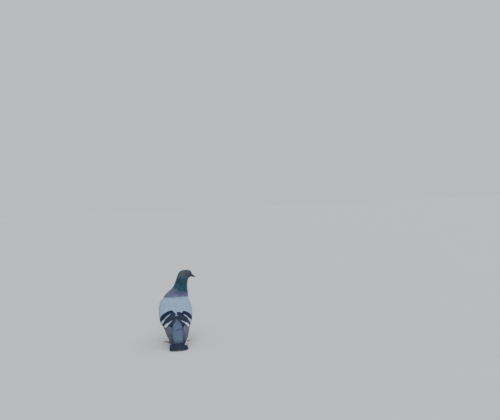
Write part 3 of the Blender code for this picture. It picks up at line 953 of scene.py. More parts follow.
def covert_feathers(random):
    """The greater and median coverts of one wing, outer ones first, so that inner ones lie on them."""
    greater, median = [], []
    for phi in np.arange(113, 16, -6.05):
        end = curve(phi, UPPER_BAR_END) - 3.5 + random.uniform(-0.7, 0.7)
        greater.append(WingFeather((phi + 2.5, end + 33), (phi, end), 5.6, ROUNDED, 1.7, 0.1))
    for phi in np.arange(111, 12, -5.2):
        end = curve(phi, UPPER_BAR_TOP) + 0.6 + random.uniform(-1.0, 1.0)
        median.append(WingFeather((phi + 1.5, end + 21), (phi, end), 4.8, ROUNDED, 1.5, 0.0))
    return greater, median


def secondary_feathers(random):
    """The secondaries and tertials of one wing."""
    made = []
    steps = [9, 15, 21, 27.5, 34, 41, 48, 55, 62, 70, 79, 89, 100, 111]
    for index, phi in enumerate(steps):
        end = curve(phi, SECONDARY_TIPS) + random.uniform(-0.5, 0.5)
        root_phi = phi * 0.96 + 6 + (2 if phi < 30 else 0)
        width = 7.2 if phi < 75 else 6.2
        made.append(WingFeather((root_phi, end + 56), (phi, end), width, ROUNDED, 1.4, 0.10 + 0.06 * index))
    made.insert(0, WingFeather((6.5, 75), (3.2, 36), 3.9, ROUNDED, 1.8, 0.04))  # the slim one at the midline
    return made[::-1]


def stem_on(coat, at, outward, t, lift, width, colour, place, strips, height=0.28):
    """The shafts of large feathers: slim tapered strips that stand a little proud of the vane."""
    vane = Vane(3, at.shape[1])
    heading = unit(np.gradient(at, axis=1))
    across = np.cross(heading, outward)
    slim = width * np.interp(t, (0, 0.7, 1), (1.0, 0.55, 0.15))
    off = slim[None, :, None] * vane.across[None, None, :]
    grid = at[:, :, None, :] + across[:, :, None, :] * off[..., None]
    outs = np.repeat(outward[:, :, None], 3, axis=2)
    ridge = height * (1 - 0.8 * t)[None, :, None] * (1 - vane.across**2)[None, None, :]
    height = lift[:, :, None] + ridge + 0.1
    count = len(at)
    thickness = np.broadcast_to(0.5 * slim, (count, len(t)))
    colour = np.broadcast_to(colour, (count, len(t), 3))
    patch = strip_patches(place, 0.06 / strips)
    marks = np.broadcast_to(NO_MARKS, (count, len(t), 3, 3))
    gloss, seeds = np.zeros((count, len(t))), np.full(count, 0.5)
    coat.add(vane, grid, outs, height, thickness, colour, gloss, marks, t, seeds, patch)


# ---------------------------------------------------------------- finishes


class Value:
    """A shader socket that takes part in ordinary sums."""

    def __init__(self, finish, socket):
        self.finish, self.socket = finish, socket

    def _sum(self, operation, a, b):
        return self.finish.node("ShaderNodeMath", {"operation": operation}, {0: a, 1: b}).out()

    def __add__(self, other):
        return self._sum("ADD", self, other)

    def __sub__(self, other):
        return self._sum("SUBTRACT", self, other)

    def __rsub__(self, other):
        return self._sum("SUBTRACT", other, self)

    def __mul__(self, other):
        return self._sum("MULTIPLY", self, other)

    def __abs__(self):
        return self._sum("ABSOLUTE", self, 0.0)

    __radd__, __rmul__ = __add__, __mul__


class Node:
    def __init__(self, finish, made):
        self.finish, self.made = finish, made

    def out(self, name=0):
        return Value(self.finish, self.made.outputs[name])


class Finish:
    """A procedural material under construction."""

    def __init__(self, name):
        self.material = bpy.data.materials.new(name)
        self.material.use_nodes = True
        self.tree = self.material.node_tree
        self.tree.nodes.clear()

    def node(self, kind, settings=None, sockets=None):
        """Adds a node: its settings first, then the value or link of each socket."""
        made = self.tree.nodes.new(kind)
        for name, value in (settings or {}).items():
            if name == "stops":
                ramp_points = made.color_ramp.elements
                while len(ramp_points) > 1:
                    ramp_points.remove(ramp_points[-1])
                for index, (position, colour) in enumerate(value):
                    point = ramp_points[0] if index == 0 else ramp_points.new(position)
                    point.position, point.color = position, (*colour, 1.0)
            else:
                setattr(made, name, value)
        for name, value in (sockets or {}).items():
            if isinstance(value, Value):
                self.tree.links.new(value.socket, made.inputs[name])
            elif isinstance(value, Node):
                self.tree.links.new(value.made.outputs[0], made.inputs[name])
            else:
                made.inputs[name].default_value = value
        return Node(self, made)

    def mix(self, share, a, b):
        settings = {"data_type": "RGBA", "blend_type": "MIX", "clamp_factor": True}
        a, b = ((*v, 1.0) if isinstance(v, (tuple, list)) and len(v) == 3 else v for v in (a, b))
        return self.node("ShaderNodeMix", settings, {0: share, 6: a, 7: b}).out(2)

    def shade(self, base, amount):
        """A colour made lighter or darker by a number."""
        return self.node("ShaderNodeVectorMath", {"operation": "SCALE"}, {0: base, "Scale": amount}).out()

    def step(self, value, low, high):
        settings = {"interpolation_type": "SMOOTHSTEP"}
        return self.node("ShaderNodeMapRange", settings, {0: value, 1: low, 2: high}).out()

    def noise(self, vector, scale, detail=2.0):
        return self.node("ShaderNodeTexNoise", {}, {"Vector": vector, "Scale": scale, "Detail": detail}).out()

    def place(self):
        return self.node("ShaderNodeTexCoord").out("Object")

    def attribute(self, name, output):
        return self.node("ShaderNodeAttribute", {"attribute_name": name}).out(output)

    def parts(self, vector):
        made = self.node("ShaderNodeSeparateXYZ", {}, {0: vector})
        return [made.out(i) for i in range(3)]

    def vector(self, x, y, z):
        return self.node("ShaderNodeCombineXYZ", {}, {0: x, 1: y, 2: z}).out()

    def bump(self, height, strength, distance):
        sockets = {"Height": height, "Strength": strength, "Distance": distance}
        return self.node("ShaderNodeBump", {}, sockets).out()

    def done(self, sockets):
        shader = self.node("ShaderNodeBsdfPrincipled", {}, sockets)
        self.node("ShaderNodeOutputMaterial", {}, {"Surface": shader})
        return self.material


def marked(f, colour, ragged):
    """The ground colour with the dark bars, pale tips and dark ends over it, a little ragged at the edges.
    The dark ends are a painted shadow below the pale tips.
    """
    dark, pale, end = f.parts(f.attribute("marks", "Vector"))
    base = f.mix(f.step(pale + ragged, 0.0, 0.7), colour, tuple(rgb("pale_tip")))
    # the dark ends: painted shadow below the pale tips
    base = f.mix(f.step(end + ragged, 0.0, 0.7), base, tuple(rgb("bar") * 1.3))
    return f.mix(f.step(dark + ragged, 0.0, 0.7), base, tuple(rgb("bar")))


def plumage_finish():
    """Soft feathers: streaks of barbs, each feather a little its own tone, and a gloss on the neck, with
    purple patches of painted sheen in its colour.
    """
    f = Finish("plumage")
    gloss = f.attribute("gloss", "Fac")
    s, t, seed = f.parts(f.attribute("vane", "Vector"))
    barbs = f.noise(f.vector((t - abs(s) * 0.45) * 26.0, abs(s) * 1.6, seed * 60.0), 1.0, 3.0)
    colour = marked(f, f.attribute("plumage", "Color"), barbs * 1.2 - 0.6)
    drift = f.noise(f.place(), 55.0, 3.0)
    shade = (barbs * 0.44 + 0.78) * (drift * 0.24 + 0.88) * (seed * 0.08 + 0.96)
    base = f.shade(colour, shade)
    # painted sheen: purple patches mixed into the base colour where the neck is glossy
    sheen_noise = f.noise(f.place(), 130.0, 2.0)
    base_with_painted_sheen = f.mix(gloss * f.step(sheen_noise, 0.52, 0.72) * 0.35, base, (0.16, 0.10, 0.20))
    rough = 0.72 + barbs * 0.1 - gloss * 0.34
    return f.done({
        "Base Color": base_with_painted_sheen, "Roughness": rough, "Metallic": gloss * 0.35,
        "Normal": f.bump(barbs, 0.35, 0.0004), "Sheen Weight": 0.05, "Sheen Roughness": 0.45,
        "Sheen Tint": (0.85, 0.92, 1.0, 1.0), "Specular IOR Level": 0.22,
    })


def flight_finish():
    """Firm vanes with fine slanting barbs."""
    f = Finish("flight_vanes")
    s, t, seed = f.parts(f.attribute("vane", "Vector"))
    barbs = f.noise(f.vector((t - abs(s) * 0.12) * 110.0, abs(s) * 1.2, seed * 60.0), 1.0, 2.0)
    colour = marked(f, f.attribute("plumage", "Color"), barbs * 1.2 - 0.6)
    drift = f.noise(f.place(), 70.0, 3.0)
    shade = (barbs * 0.3 + 0.85) * (drift * 0.2 + 0.9)
    base = f.shade(colour, shade)
    return f.done({
        "Base Color": base, "Roughness": 0.55 + barbs * 0.12, "Normal": f.bump(barbs, 0.3, 0.0004),
        "Sheen Weight": 0.03, "Sheen Roughness": 0.5, "Specular IOR Level": 0.25,
    })


def skin_finish():
    f = Finish("feathered_skin")
    uneven = f.noise(f.place(), 400.0, 3.0)
    base = f.shade(marked(f, f.attribute("plumage", "Color"), uneven), uneven * 0.3 + 0.7)
    return f.done({
        "Base Color": base, "Roughness": 0.75 + uneven * 0.1, "Normal": f.bump(uneven, 0.4, 0.0004),
        "Specular IOR Level": 0.2,
    })


def leg_finish():
    """Red leg skin in small plates, darker between them."""
    f = Finish("leg_scales")
    settings = {"feature": "DISTANCE_TO_EDGE"}
    cells = f.node("ShaderNodeTexVoronoi", settings, {"Vector": f.place(), "Scale": 750.0}).out("Distance")
    plate = f.step(cells, 0.0, 0.12)
    uneven = f.noise(f.place(), 180.0, 3.0)
    red, dark = tuple(rgb("leg")), tuple(rgb("leg") * np.array((0.42, 0.36, 0.4)))
    base = f.shade(f.mix(plate, dark, red), uneven * 0.7 + 0.62)
    return f.done({
        "Base Color": base, "Roughness": 0.62 - plate * 0.14, "Normal": f.bump(plate, 0.35, 0.0003),
        "Specular IOR Level": 0.45,
    })


def lid_finish():
    f = Finish("eye_rim_skin")
    uneven = f.noise(f.place(), 900.0, 4.0)
    pale, dark = tuple(rgb("eye_rim")), tuple(rgb("eye_rim") * np.array((0.6, 0.6, 0.62)))
    base = f.mix(f.step(uneven, 0.3, 0.7), dark, pale)
    return f.done({
        "Base Color": base, "Roughness": 0.6 + uneven * 0.1, "Normal": f.bump(uneven, 0.5, 0.0003),
    })


def horn_finish():
    f = Finish("horn")
    grain = f.noise(f.place(), 260.0, 4.0)
    dark = tuple(rgb("horn"))
    base = f.mix(f.step(grain, 0.35, 0.75), dark, tuple(c * 2.1 + 0.01 for c in dark))
    return f.done({
        "Base Color": base, "Roughness": 0.36 + grain * 0.16, "Normal": f.bump(grain, 0.12, 0.0003),
        "Specular IOR Level": 0.5,
    })


def cere_finish():
    f = Finish("powdery_cere")
    pits = f.noise(f.place(), 1500.0, 4.0)
    pale = tuple(rgb("cere"))
    base = f.mix(f.step(pits, 0.3, 0.75), tuple(c * 0.62 for c in pale), pale)
    return f.done({
        "Base Color": base, "Roughness": 0.8 + pits * 0.1, "Normal": f.bump(pits, 0.5, 0.0003),
        "Sheen Weight": 0.2,
    })


def eye_finish():
    """Black pupil, a thin gold ring and an orange-red iris with fine flecks."""
    f = Finish("eyeball")
    off = f.attribute("iris", "Fac")
    flecks = f.noise(f.place(), 1400.0, 4.0)
    iris = rgb("iris")
    pupil, gold = (0.002, 0.002, 0.003), np.minimum(iris * np.array((1.1, 2.0, 1.4)), 1)
    stops = [
        (0.0, pupil), (0.47, pupil), (0.50, iris * 0.5), (0.56, gold), (0.62, iris), (0.82, iris * 0.72),
        (0.94, iris * 0.2), (1.0, (0.01, 0.008, 0.008)),
    ]
    ring = f.node("ShaderNodeValToRGB", {"stops": stops}, {0: off}).out()
    base = f.shade(ring, flecks * 0.8 + 0.6)
    return f.done({
        "Base Color": base, "Roughness": 0.3 + flecks * 0.04, "Coat Weight": 0.5, "Coat Roughness": 0.04,
        "Specular IOR Level": 0.3,
    })


def floor_finish():
    f = Finish("studio_floor")
    grain = f.noise(f.place(), 3.0, 3.0)
    tone = bpy.context.scene.pigeon_stage.floor_colour
    base = f.shade(tuple(tone), grain * 0.04 + 0.98)
    return f.done({"Base Color": base, "Roughness": 0.85 + grain * 0.05})


FINISHES = {
    "plumage": plumage_finish, "flight": flight_finish, "skin": skin_finish, "leg": leg_finish,
    "lid": lid_finish, "horn": horn_finish, "cere": cere_finish, "eye": eye_finish, "floor": floor_finish,
}


def finish_for(name):
    if name not in _shared:
        _shared[name] = FINISHES[name]()
    return _shared[name]


# ---------------------------------------------------------------- settings


def length_property(name, description, value):
    return FloatProperty(name=name, description=description, default=value, unit="LENGTH")


class PigeonSizes(bpy.types.PropertyGroup):
    coat_depth: length_property("Coat depth", "Depth of the plumage over the trunk", 0.0026)
    neck_depth: length_property("Neck coat", "Depth of the plumage over the neck", 0.0020)
    head_depth: length_property("Head coat", "Depth of the plumage over the head", 0.0010)
    eye_opening: length_property("Eye opening", "Radius of the opening between the lids", 0.0036)
    lid_width: length_property("Eye rim", "Width of the bare rim round the eye", 0.0008)
    scute: length_property("Leg plate", "Length of one plate on the front of the leg", 0.0024)
    seed: IntProperty(name="Seed", description="Start of the random spread of the feathers", default=11)


def colour_property(name, description, value):
    return FloatVectorProperty(
        name=name, description=description, default=value, subtype="COLOR", min=0, max=1,
    )


def power_property(name, description, value):
    return FloatProperty(name=name, description=description, default=value)


class PigeonColours(bpy.types.PropertyGroup):
    mantle: colour_property("Mantle", "Pale blue-grey of the back and wing coverts", (0.243, 0.350, 0.515))
    bar: colour_property("Wing bar", "Blue-black of the two wing bars", (0.0083, 0.0130, 0.036))
    pale_tip: colour_property("Pale tips", "Near white of the secondary tips", (0.43, 0.48, 0.60))
    rump: colour_property("Rump", "Slate of the rump and upper tail coverts", (0.080, 0.113, 0.184))
    breast: colour_property("Breast", "Grey of the lower breast", (0.170, 0.205, 0.265))
    belly: colour_property("Belly", "Grey of the belly and flanks", (0.225, 0.265, 0.325))
    undertail: colour_property("Undertail", "Grey of the vent and undertail coverts", (0.230, 0.260, 0.310))
    vent: colour_property("Vent tufts", "Pale loose feathers beside the tail's root", (0.47, 0.46, 0.51))
    neck_green: colour_property("Neck green", "Glossy blue-green of the neck", (0.0175, 0.066, 0.088))
    neck_purple: colour_property("Neck purple", "Glossy purple of the lower neck", (0.104, 0.119, 0.192))
    head: colour_property("Head", "Slate of the head", (0.056, 0.080, 0.107))
    flight: colour_property("Flight feathers", "Brown-grey of the primaries", (0.066, 0.071, 0.099))
    tail_band: colour_property("Tail band", "Dark band at the end of the tail", (0.0105, 0.0145, 0.030))
    leg: colour_property("Legs", "Red of the legs and toes", (0.42, 0.115, 0.13))
    horn: colour_property("Horn", "Dark bill and claws", (0.019, 0.020, 0.024))
    cere: colour_property("Cere", "Powdery skin over the nostrils", (0.17, 0.175, 0.185))
    iris: colour_property("Iris", "Orange-red of the eye", (0.24, 0.045, 0.020))
    eye_rim: colour_property("Eye rim", "Bare skin round the eye", (0.090, 0.100, 0.114))


class PigeonStage(bpy.types.PropertyGroup):
    floor_colour: colour_property("Floor", "Plain pale floor", (0.557, 0.568, 0.579))
    floor_size: length_property("Floor size", "Half the width of the floor", 8.0)
    key_power: power_property("Key light", "Strength of the soft light from above", 1.75)
    fill_power: power_property("Fill light", "Strength of the softer light from the other side", 0.60)
    sky: power_property("Sky", "Strength of the even light all round", 0.82)


# ---------------------------------------------------------------- operators


LEG_VOXEL = 0.42


def leg_nodes(side):
    return [f"shank_{side}"] + [f"toe_{side}_{toe}" for toe in TOES]


def leg_skin(side):
    """One bare leg with its toes, with plates down the front and across the toes and pads below."""
    names = leg_nodes(side)
    axes, trees = [], []
    for name in names:
        bm = mm_bmesh(name)
        points = places(bm)
        centre = points.mean(axis=0)
        axis = np.linalg.svd(points - centre, full_matrices=False)[2][0]
        towards = axis[2] if name.startswith("shank") else axis @ (centre - foot_middle(side))
        axes.append((centre, axis * np.sign(towards)))
        trees.append(BVHTree.FromBMesh(bm))
        bm.free()
    parts = [swollen(mm_bmesh(name), 0.2) for name in names]
    skin = swollen(remeshed(joined(parts), LEG_VOXEL, 5), -0.12)
    points, outs = places(skin), ways_out(skin)
    away = np.array([[tree.find_nearest(p)[3] for tree in trees] for p in points.tolist()])
    owner = away.argmin(axis=1)
    pitch = sizes().scute / MM
    lift = np.zeros(len(points))
    for index, (centre, axis) in enumerate(axes):
        mine = owner == index
        at = (points[mine] - centre) @ axis
        if index == 0:
            front = ramp(-0.1, 0.7, -outs[mine, 1])
            wave = np.abs(((at / pitch) % 1.0) - 0.5) * 2
            grain = (1 - front) * 0.06 * noise(points[mine], 0.35)
            lift[mine] = front * (0.10 - 0.30 * ramp(0.72, 1.0, wave)) + grain
        else:
            top = ramp(0.1, 0.7, outs[mine, 2])
            wave = np.abs(((at / (pitch * 0.72)) % 1.0) - 0.5) * 2
            pad = np.abs(((at / 6.5 + 0.3) % 1.0) - 0.5) * 2
            low = ramp(0.0, 0.6, -outs[mine, 2])
            creases = (1 - top) * 0.22 * ramp(0.72, 1.0, pad) * (1 - 0.6 * low)
            lift[mine] = top * (0.10 - 0.28 * ramp(0.7, 1.0, wave)) - creases
    for vert in pushed(skin, outs, lift).verts:
        vert.co.z = max(vert.co.z, 0.02)
    return skin


def node_middle(name):
    low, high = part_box(name)
    return (np.array(low) + np.array(high)) / 2 / MM - ORIGIN


def foot_middle(side):
    return node_middle(f"shank_{side}") * np.array((1.0, 1.0, 0.0))


def eye_radius(side):
    low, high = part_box(f"eye_{side}")
    return (high[2] - low[2]) / 2 / MM


def eye_matrix(side):
    """Axes at the eye's centre: x ahead on the head, y up, z out of the head."""
    out = HEAD_LEFT * SIDES[side]
    ahead = unit(from_head(0, 1, 0) - from_head(0, 0, 0))
    up = np.cross(out, ahead)
    turn = Matrix(np.column_stack([ahead, up, out]).tolist()).to_4x4()
    return Matrix.Translation(Vector(node_middle(f"eye_{side}"))) @ turn


def lid_ring(side):
    """The bare rim and lids of one eye: a rounded ring spun about the eye's axis."""
    opening, wide = sizes().eye_opening / MM, sizes().lid_width / MM
    seat = math.sqrt(eye_radius(side) ** 2 - opening**2)
    bm = bmesh.new()
    bmesh.ops.create_circle(bm, segments=14, radius=1.0)
    bmesh.ops.rotate(bm, verts=bm.verts, cent=(0, 0, 0), matrix=Matrix.Rotation(math.pi / 2, 3, "X"))
    bmesh.ops.scale(bm, verts=bm.verts, vec=(wide * 0.62, 1, 1.05))
    bmesh.ops.translate(bm, verts=bm.verts, vec=(opening + wide * 0.55, 0, seat - 0.35))
    bmesh.ops.spin(
        bm, geom=bm.verts[:] + bm.edges[:], cent=(0, 0, 0), axis=(0, 0, 1), angle=2 * math.pi, steps=56,
        use_merge=True,
    )
    bmesh.ops.remove_doubles(bm, verts=bm.verts, dist=0.001)
    for vert in bm.verts:  # a slight point at the front and back corners
        vert.co.x *= 1.06
        vert.co.z -= 0.25 * (vert.co.x / 5.5) ** 2
        vert.co *= 1 + 0.012 * math.sin(17 * math.atan2(vert.co.y, vert.co.x)) * math.sin(9 * vert.co.length)
    bmesh.ops.recalc_face_normals(bm, faces=bm.faces)
    bmesh.ops.transform(bm, matrix=eye_matrix(side), verts=bm.verts)
    return bm


SKIN_SHARE = 0.55  # of the skin's faces that are kept, which are fine enough under the coat


class PIGEON_OT_skin(bpy.types.Operator):
    """Makes the one skin of body, head, wings and legs, inside the coat"""

    bl_idname = "pigeon.skin"
    bl_label = "Skin"

    def execute(self, context):
        shape, form = body(), body().form
        bm = shape.bm.copy()
        bm.verts.ensure_lookup_table()
        size = sizes()
        regions = shape.region(form.points)
        coat, neck, head = size.coat_depth / MM, size.neck_depth / MM, size.head_depth / MM
        deep = np.full(len(form.points), coat)
        z = form.points[:, 2]
        deep = np.where(regions == "neck", curve(z, [(140, coat), (190, neck), (207, head)]), deep)
        deep = np.where(regions == "head", head, deep)
        deep = np.where(np.char.startswith(regions, "thigh"), curve(z, [(34, 0.5), (52, 1.8)]), deep)
        room = []
        for p, n in zip(form.points.tolist(), form.normals.tolist()):
            start = [a - 0.05 * b for a, b in zip(p, n)]
            far = form.tree.ray_cast(start, [-c for c in n])[3]
            room.append(9.0 if far is None else far)
        deep = np.minimum(deep, 0.4 * np.array(room))
        bm = smoothed(pushed(bm, form.normals, -deep), 2)
        bm = through_modifier(bm, "DECIMATE", {"ratio": SKIN_SHARE})
        for side in SIDES:
            bm = united(bm, leg_skin(side))
            bm = united(bm, lid_ring(side))
        bm.normal_update()
        centres = np.array([f.calc_center_median()[:] for f in bm.faces])
        side, forward, up = on_head(centres)
        opening = (size.eye_opening + size.lid_width * 1.15) / MM
        rim = (np.hypot(forward / 1.06, up) < opening) & (np.abs(side) > 8.5)
        legs = [shape.shell(*leg_nodes(name)) for name in SIDES]
        to_leg = np.array([min(tree.find_nearest(p)[3] for tree in legs) for p in centres.tolist()])
        to_coat = np.array([shape.cad.find_nearest(p)[3] for p in centres.tolist()])
        bare = (to_leg < 0.6) & (to_leg < to_coat)
        for face, is_rim, is_bare in zip(bm.faces, rim, bare):
            face.material_index = 2 if is_rim else 1 if is_bare else 0
        points = places(bm)
        colour, gloss, marks = markings(points, shape.region(points))
        mesh = as_mesh(bm, "skin")
        set_markings(mesh, colour * 0.8, gloss * 0.5, marks)
        for name in ("skin", "leg", "lid"):
            mesh.materials.append(finish_for(name))
        skin = placed("skin", mesh)
        shanks = [f"shank_{side}" for side in SIDES]
        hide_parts(*COAT_NODES, *shanks, *(f"toe_{side}_{toe}" for side in SIDES for toe in TOES))
        return {"FINISHED"}


class PIGEON_OT_contour_feathers(bpy.types.Operator):
    """Lays the small feathers of the head, neck, back, breast, belly, rump, thighs and wing shoulders"""

    bl_idname = "pigeon.contour_feathers"
    bl_label = "Contour feathers"

    def execute(self, context):
        shape = body()
        region, centre = shape.face_region, shape.face_centre
        x, along, out = on_trunk(centre)
        phi = round_back(centre)
        wing = np.char.startswith(region, "wing")
        thigh = np.char.startswith(region, "thigh")
        covered = wing & (along < covert_line(phi) + 4)
        head = region == "head"
        collar = curve(phi, [(0, 152), (90, 148), (180, 122)])
        neck = (region == "neck") | ((region == "trunk") & (centre[:, 2] > collar))
        rest = ~head & ~neck & ~covered
        front = rest & ~wing & (phi > 88) & ~thigh
        low = rest & ~wing & ~front & (along < 40) & ~thigh
        back = rest & ~wing & ~front & ~low & ~thigh
        open_back = curve(along, [(0, 25), (8, 21), (22, 14), (36, 7)])  # half of what the wings leave open
        rump = low & (along > -25) & ((out < 82) | (np.abs(x) < open_back))

        def clear_of_eye(points):
            s, f, u = on_head(points)
            return ~((np.abs(s) > 7) & (np.hypot(f, u) < 4.9))

        made = [
            ("plumage_head", "head", head, "head_plumage", clear_of_eye),
            ("plumage_neck", "neck", neck, "neck_plumage", None),
            ("plumage_back", "mantle", back, "body_plumage", None),
            ("plumage_breast", "breast", front & (along > 60), "body_plumage", None),
            ("plumage_belly", "breast", front & (along <= 60), "body_plumage", None),
            ("plumage_rump", "rump", rump, "body_plumage", None),
            ("plumage_thighs", "leg", rest & thigh, "body_plumage", None),
            ("coverts_lesser_left", "shield", rest & wing & (centre[:, 0] > 0), "wing_shield", None),
            ("coverts_lesser_right", "shield", rest & wing & (centre[:, 0] <= 0), "wing_shield", None),
        ]
        for seed, (name, style, chosen, slot, clear) in enumerate(made):
            columns = 5 if style in ("mantle", "shield") else 3
            soft = 0.9 if style == "head" else 0.82
            piece = contour_piece(name, style, chosen, seed, columns, clear, soft)
        return {"FINISHED"}


PRIMARY_TONE_AND_SIDE_SHADE = {"left": 1.1, "right": 1.33}  # how pale each wing's primaries are; the left ones are darker by painted shade


class PIGEON_OT_wing_feathers(bpy.types.Operator):
    """Lays the larger coverts, the secondaries and tertials, and the primaries of both wings"""

    bl_idname = "pigeon.wing_feathers"
    bl_label = "Wing feathers"

    def execute(self, context):
        shape = body()
        for index, (side, sign) in enumerate(SIDES.items()):
            random = np.random.default_rng(sizes().seed + 40 + index)
            tree = shape.shell(f"wing_{side}", f"primaries_{side}")
            greater, median = covert_feathers(random)
            coat = Coat()
            vane = Vane(5, 11)
            strips = len(greater) + len(median)
            lay_large(coat, vane, tree, greater, sign, wing_markings, strips, random, 0.15, thick=0.22)
            lay_large(
                coat, vane, tree, median, sign, wing_markings, strips, random,
                camber=0.12, thick=0.2, offset=len(greater),
            )
            coat.piece(f"coverts_large_{side}", finish_for("plumage"))
            coat = Coat()
            secondaries = secondary_feathers(random)
            vane = Vane(7, 17)
            count = len(secondaries)
            laid = lay_large(coat, vane, tree, secondaries, sign, wing_markings, count, random, 0.2)
            place = (np.arange(count) + 0.5) / count
            stem_on(coat, *laid, 0.2, rgb("bar") * 1.2, place, count, height=0.10)
            coat.piece(f"secondaries_{side}", finish_for("flight"))
            coat = Coat()
            primaries = self.primaries()
            # painted shade: one wing's primaries are made darker than the other's
            tone = PRIMARY_TONE_AND_SIDE_SHADE[side]

            def marks(points):
                x, along, _ = on_trunk(points)
                # darker along the inner edge by the rump: the feathers' own dark edges, and a painted shadow
                # of the gap between wing and rump
                inner = ramp(23, 16.5, np.abs(x) + 0.10 * along)
                base = mixed(rgb("flight") * tone, rgb("flight") * 0.45, inner)
                return mixed(base, base * 0.8, ramp(-30, -55, along)), np.broadcast_to(NO_MARKS, points.shape)

            count = len(primaries)
            laid = lay_large(coat, vane, tree, primaries, sign, marks, count, random, 0.2, thick=0.3)
            place = (np.arange(count) + 0.5) / count
            stem_on(coat, *laid, 0.4, rgb("flight") * 0.5, place, count)
            piece = coat.piece(f"primary_feathers_{side}", finish_for("flight"))
            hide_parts(f"primaries_{side}")
        return {"FINISHED"}

    def primaries(self):
        """Long blades that fan from under the secondaries to the wing's inner edge, inner ones on top."""
        made = []
        for index in range(9):
            share = index / 8
            end = -14 - 44.5 * share**0.8
            tip_phi = curve(end, [(-59, 24), (-50, 24.5), (-34, 27), (-14, 30)])
            root = (52 + 50 * share, 50 - 12 * share)
            layer, bow = 0.35 + 0.13 * index, 1.5 + 3.5 * share
            made.append(WingFeather(root, (tip_phi, end), 5.8, BLADE, 2.0, layer, bow))
        return made[::-1]


COVERTS_TOP = [(-57, 92.2), (-50, 92.9), (-42, 93.9), (-34, 95.1), (-26, 96.2), (-16, 97.0), (-4, 97.4)]


class PIGEON_OT_tail_feathers(bpy.types.Operator):
    """Lays the twelve tail feathers, the middle pair on top"""

    bl_idname = "pigeon.tail_feathers"
    bl_label = "Tail feathers"

    def execute(self, context):
        random = np.random.default_rng(sizes().seed + 60)
        vane = Vane(7, 19)
        t = row_places(vane)
        ranks = [(rank, sign) for rank in range(6, 0, -1) for sign in (1, -1)]
        count = len(ranks)
        grid = np.zeros((count, vane.rows, vane.columns, 3))
        middle, below = np.zeros((count, vane.rows, 3)), np.zeros(count)
        for index, (rank, sign) in enumerate(ranks):
            tip_x = (0.0, 3.0, 7.2, 11.6, 16.0, 20.0, 23.2)[rank] + random.uniform(-0.4, 0.4)
            end = (0, -82.0, -82.0, -81.6, -81.0, -80.2, -79.2)[rank]
            centre_x = sign * (tip_x * (0.42 + 0.58 * t))
            along = -8 + (end + 8) * t
            half = (5.6 + 3.2 * ramp(0.2, 0.75, t)) * np.interp(t, (0, 0.93, 0.975, 1), (0.9, 1, 0.72, 0.22))
            for column, s in enumerate(vane.across):
                x = centre_x + s * half
                grid[index, :, column] = from_trunk(x, along, self.top(along) - 4.0 * (x / 30) ** 2)
            middle[index] = grid[index, :, vane.columns // 2]
            below[index] = 0.12 + 0.30 * (rank - 1) + (0.06 if sign < 0 else 0)
            if sign > 0 and rank > 3:  # the left outer feathers lie a little apart, below the rest
                below[index] += 0.7
                grid[index] += np.array((0.9, 0, 0))
        outs = np.broadcast_to(SPAN_UP, grid.shape)
        lift = -below[:, None, None] - (0.25 * vane.across**2)[None, None, :] - np.full((1, len(t), 1), 0.1)
        thickness = np.broadcast_to(np.interp(t, (0, 0.5, 1), (0.34, 0.28, 0.14)), (count, len(t)))
        along = on_trunk(middle)[1]
        colour = mixed(rgb("rump"), rgb("rump") * 0.85, ramp(-10, -50, along))
        marks = np.repeat(np.broadcast_to(NO_MARKS, middle.shape)[:, :, None], vane.columns, axis=2).copy()
        marks[..., 0] = (-55.5 - along)[:, :, None] - 1.0 * vane.across**2
        coat = Coat()
        place = (np.arange(count) + 0.5) / count
        patch, gloss = strip_patches(place, 0.8 / count), np.zeros((count, len(t)))
        coat.add(vane, grid, outs, lift, thickness, colour, gloss, marks, t, random.random(count), patch)
        outward, lift = np.broadcast_to(SPAN_UP, middle.shape), lift[:, :, vane.columns // 2]
        stem_on(coat, middle, outward, t, lift, 0.45, rgb("tail_band"), place, count, height=0.2)
        piece = coat.piece("tail_feathers", finish_for("flight"), soft=0.5)
        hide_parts("tail")
        self.coverts(random)
        self.vent_tufts(random)
        return {"FINISHED"}

    def coverts(self, random):
        """The upper tail coverts, in five rows that run from the rump on to the tail."""
        vane, coat, t = Vane(5, len(LARGE_ALONG)), Coat(), LARGE_ALONG
        rows = (  # where each row starts and ends along the tail, half its spread and its count of feathers
            (-26, -56, 22, 13), (-20, -49, 21, 13), (-13, -42, 20, 12), (-6, -35, 19, 12), (-16, -29, 18, 11),
        )
        strips, done = sum(row[3] for row in rows), 0
        for rank, (root, end, reach, many) in enumerate(rows):
            across = np.linspace(-reach, reach, many)
            across = across[np.argsort(-np.abs(across))] + random.uniform(-0.6, 0.6, many)
            along = root + (end + random.uniform(-1.2, 1.2, many)[:, None] - root) * t
            half = 3.4 * np.interp(t, *zip(*ROUNDED))
            x = (across[:, None] * (0.72 + 0.28 * t))[:, :, None] + half[:, None] * vane.across
            on = np.broadcast_to(along[:, :, None], x.shape)
            height = curve(on, COVERTS_TOP) - (0.0044 + 0.0052 * ramp(-45, -15, on)) * x**2
            grid = from_trunk(x, on, height)
            outs = np.broadcast_to(SPAN_UP, grid.shape)
            sink = -1.2 * (1 - t) ** 2 - 0.012 * np.abs(across)[:, None] + 0.10 * rank
            lift = sink[:, :, None] - 0.12 * vane.across**2
            middle = grid[:, :, vane.columns // 2]
            colour = mixed(rgb("rump") * 0.92, rgb("bar") * 2.2, 0.6 * ramp(-44, -55, along))
            colour = mixed(colour, rgb("bar") * 1.3, fold_shadow(middle))
            colour = colour * random.uniform(0.97, 1.03, (many, 1, 1))
            marks = np.broadcast_to(NO_MARKS, grid.shape)
            thickness = np.broadcast_to(np.interp(t, (0, 0.6, 1), (0.3, 0.2, 0.07)), (many, len(t)))
            place = (np.arange(many) + done + 0.5) / strips
            done += many
            patch = strip_patches(place, 0.8 / strips)
            gloss = np.zeros((many, len(t)))
            coat.add(vane, grid, outs, lift, thickness, colour, gloss, marks, t, random.random(many), patch)
        coat.piece("tail_coverts", finish_for("plumage"), soft=0.6)

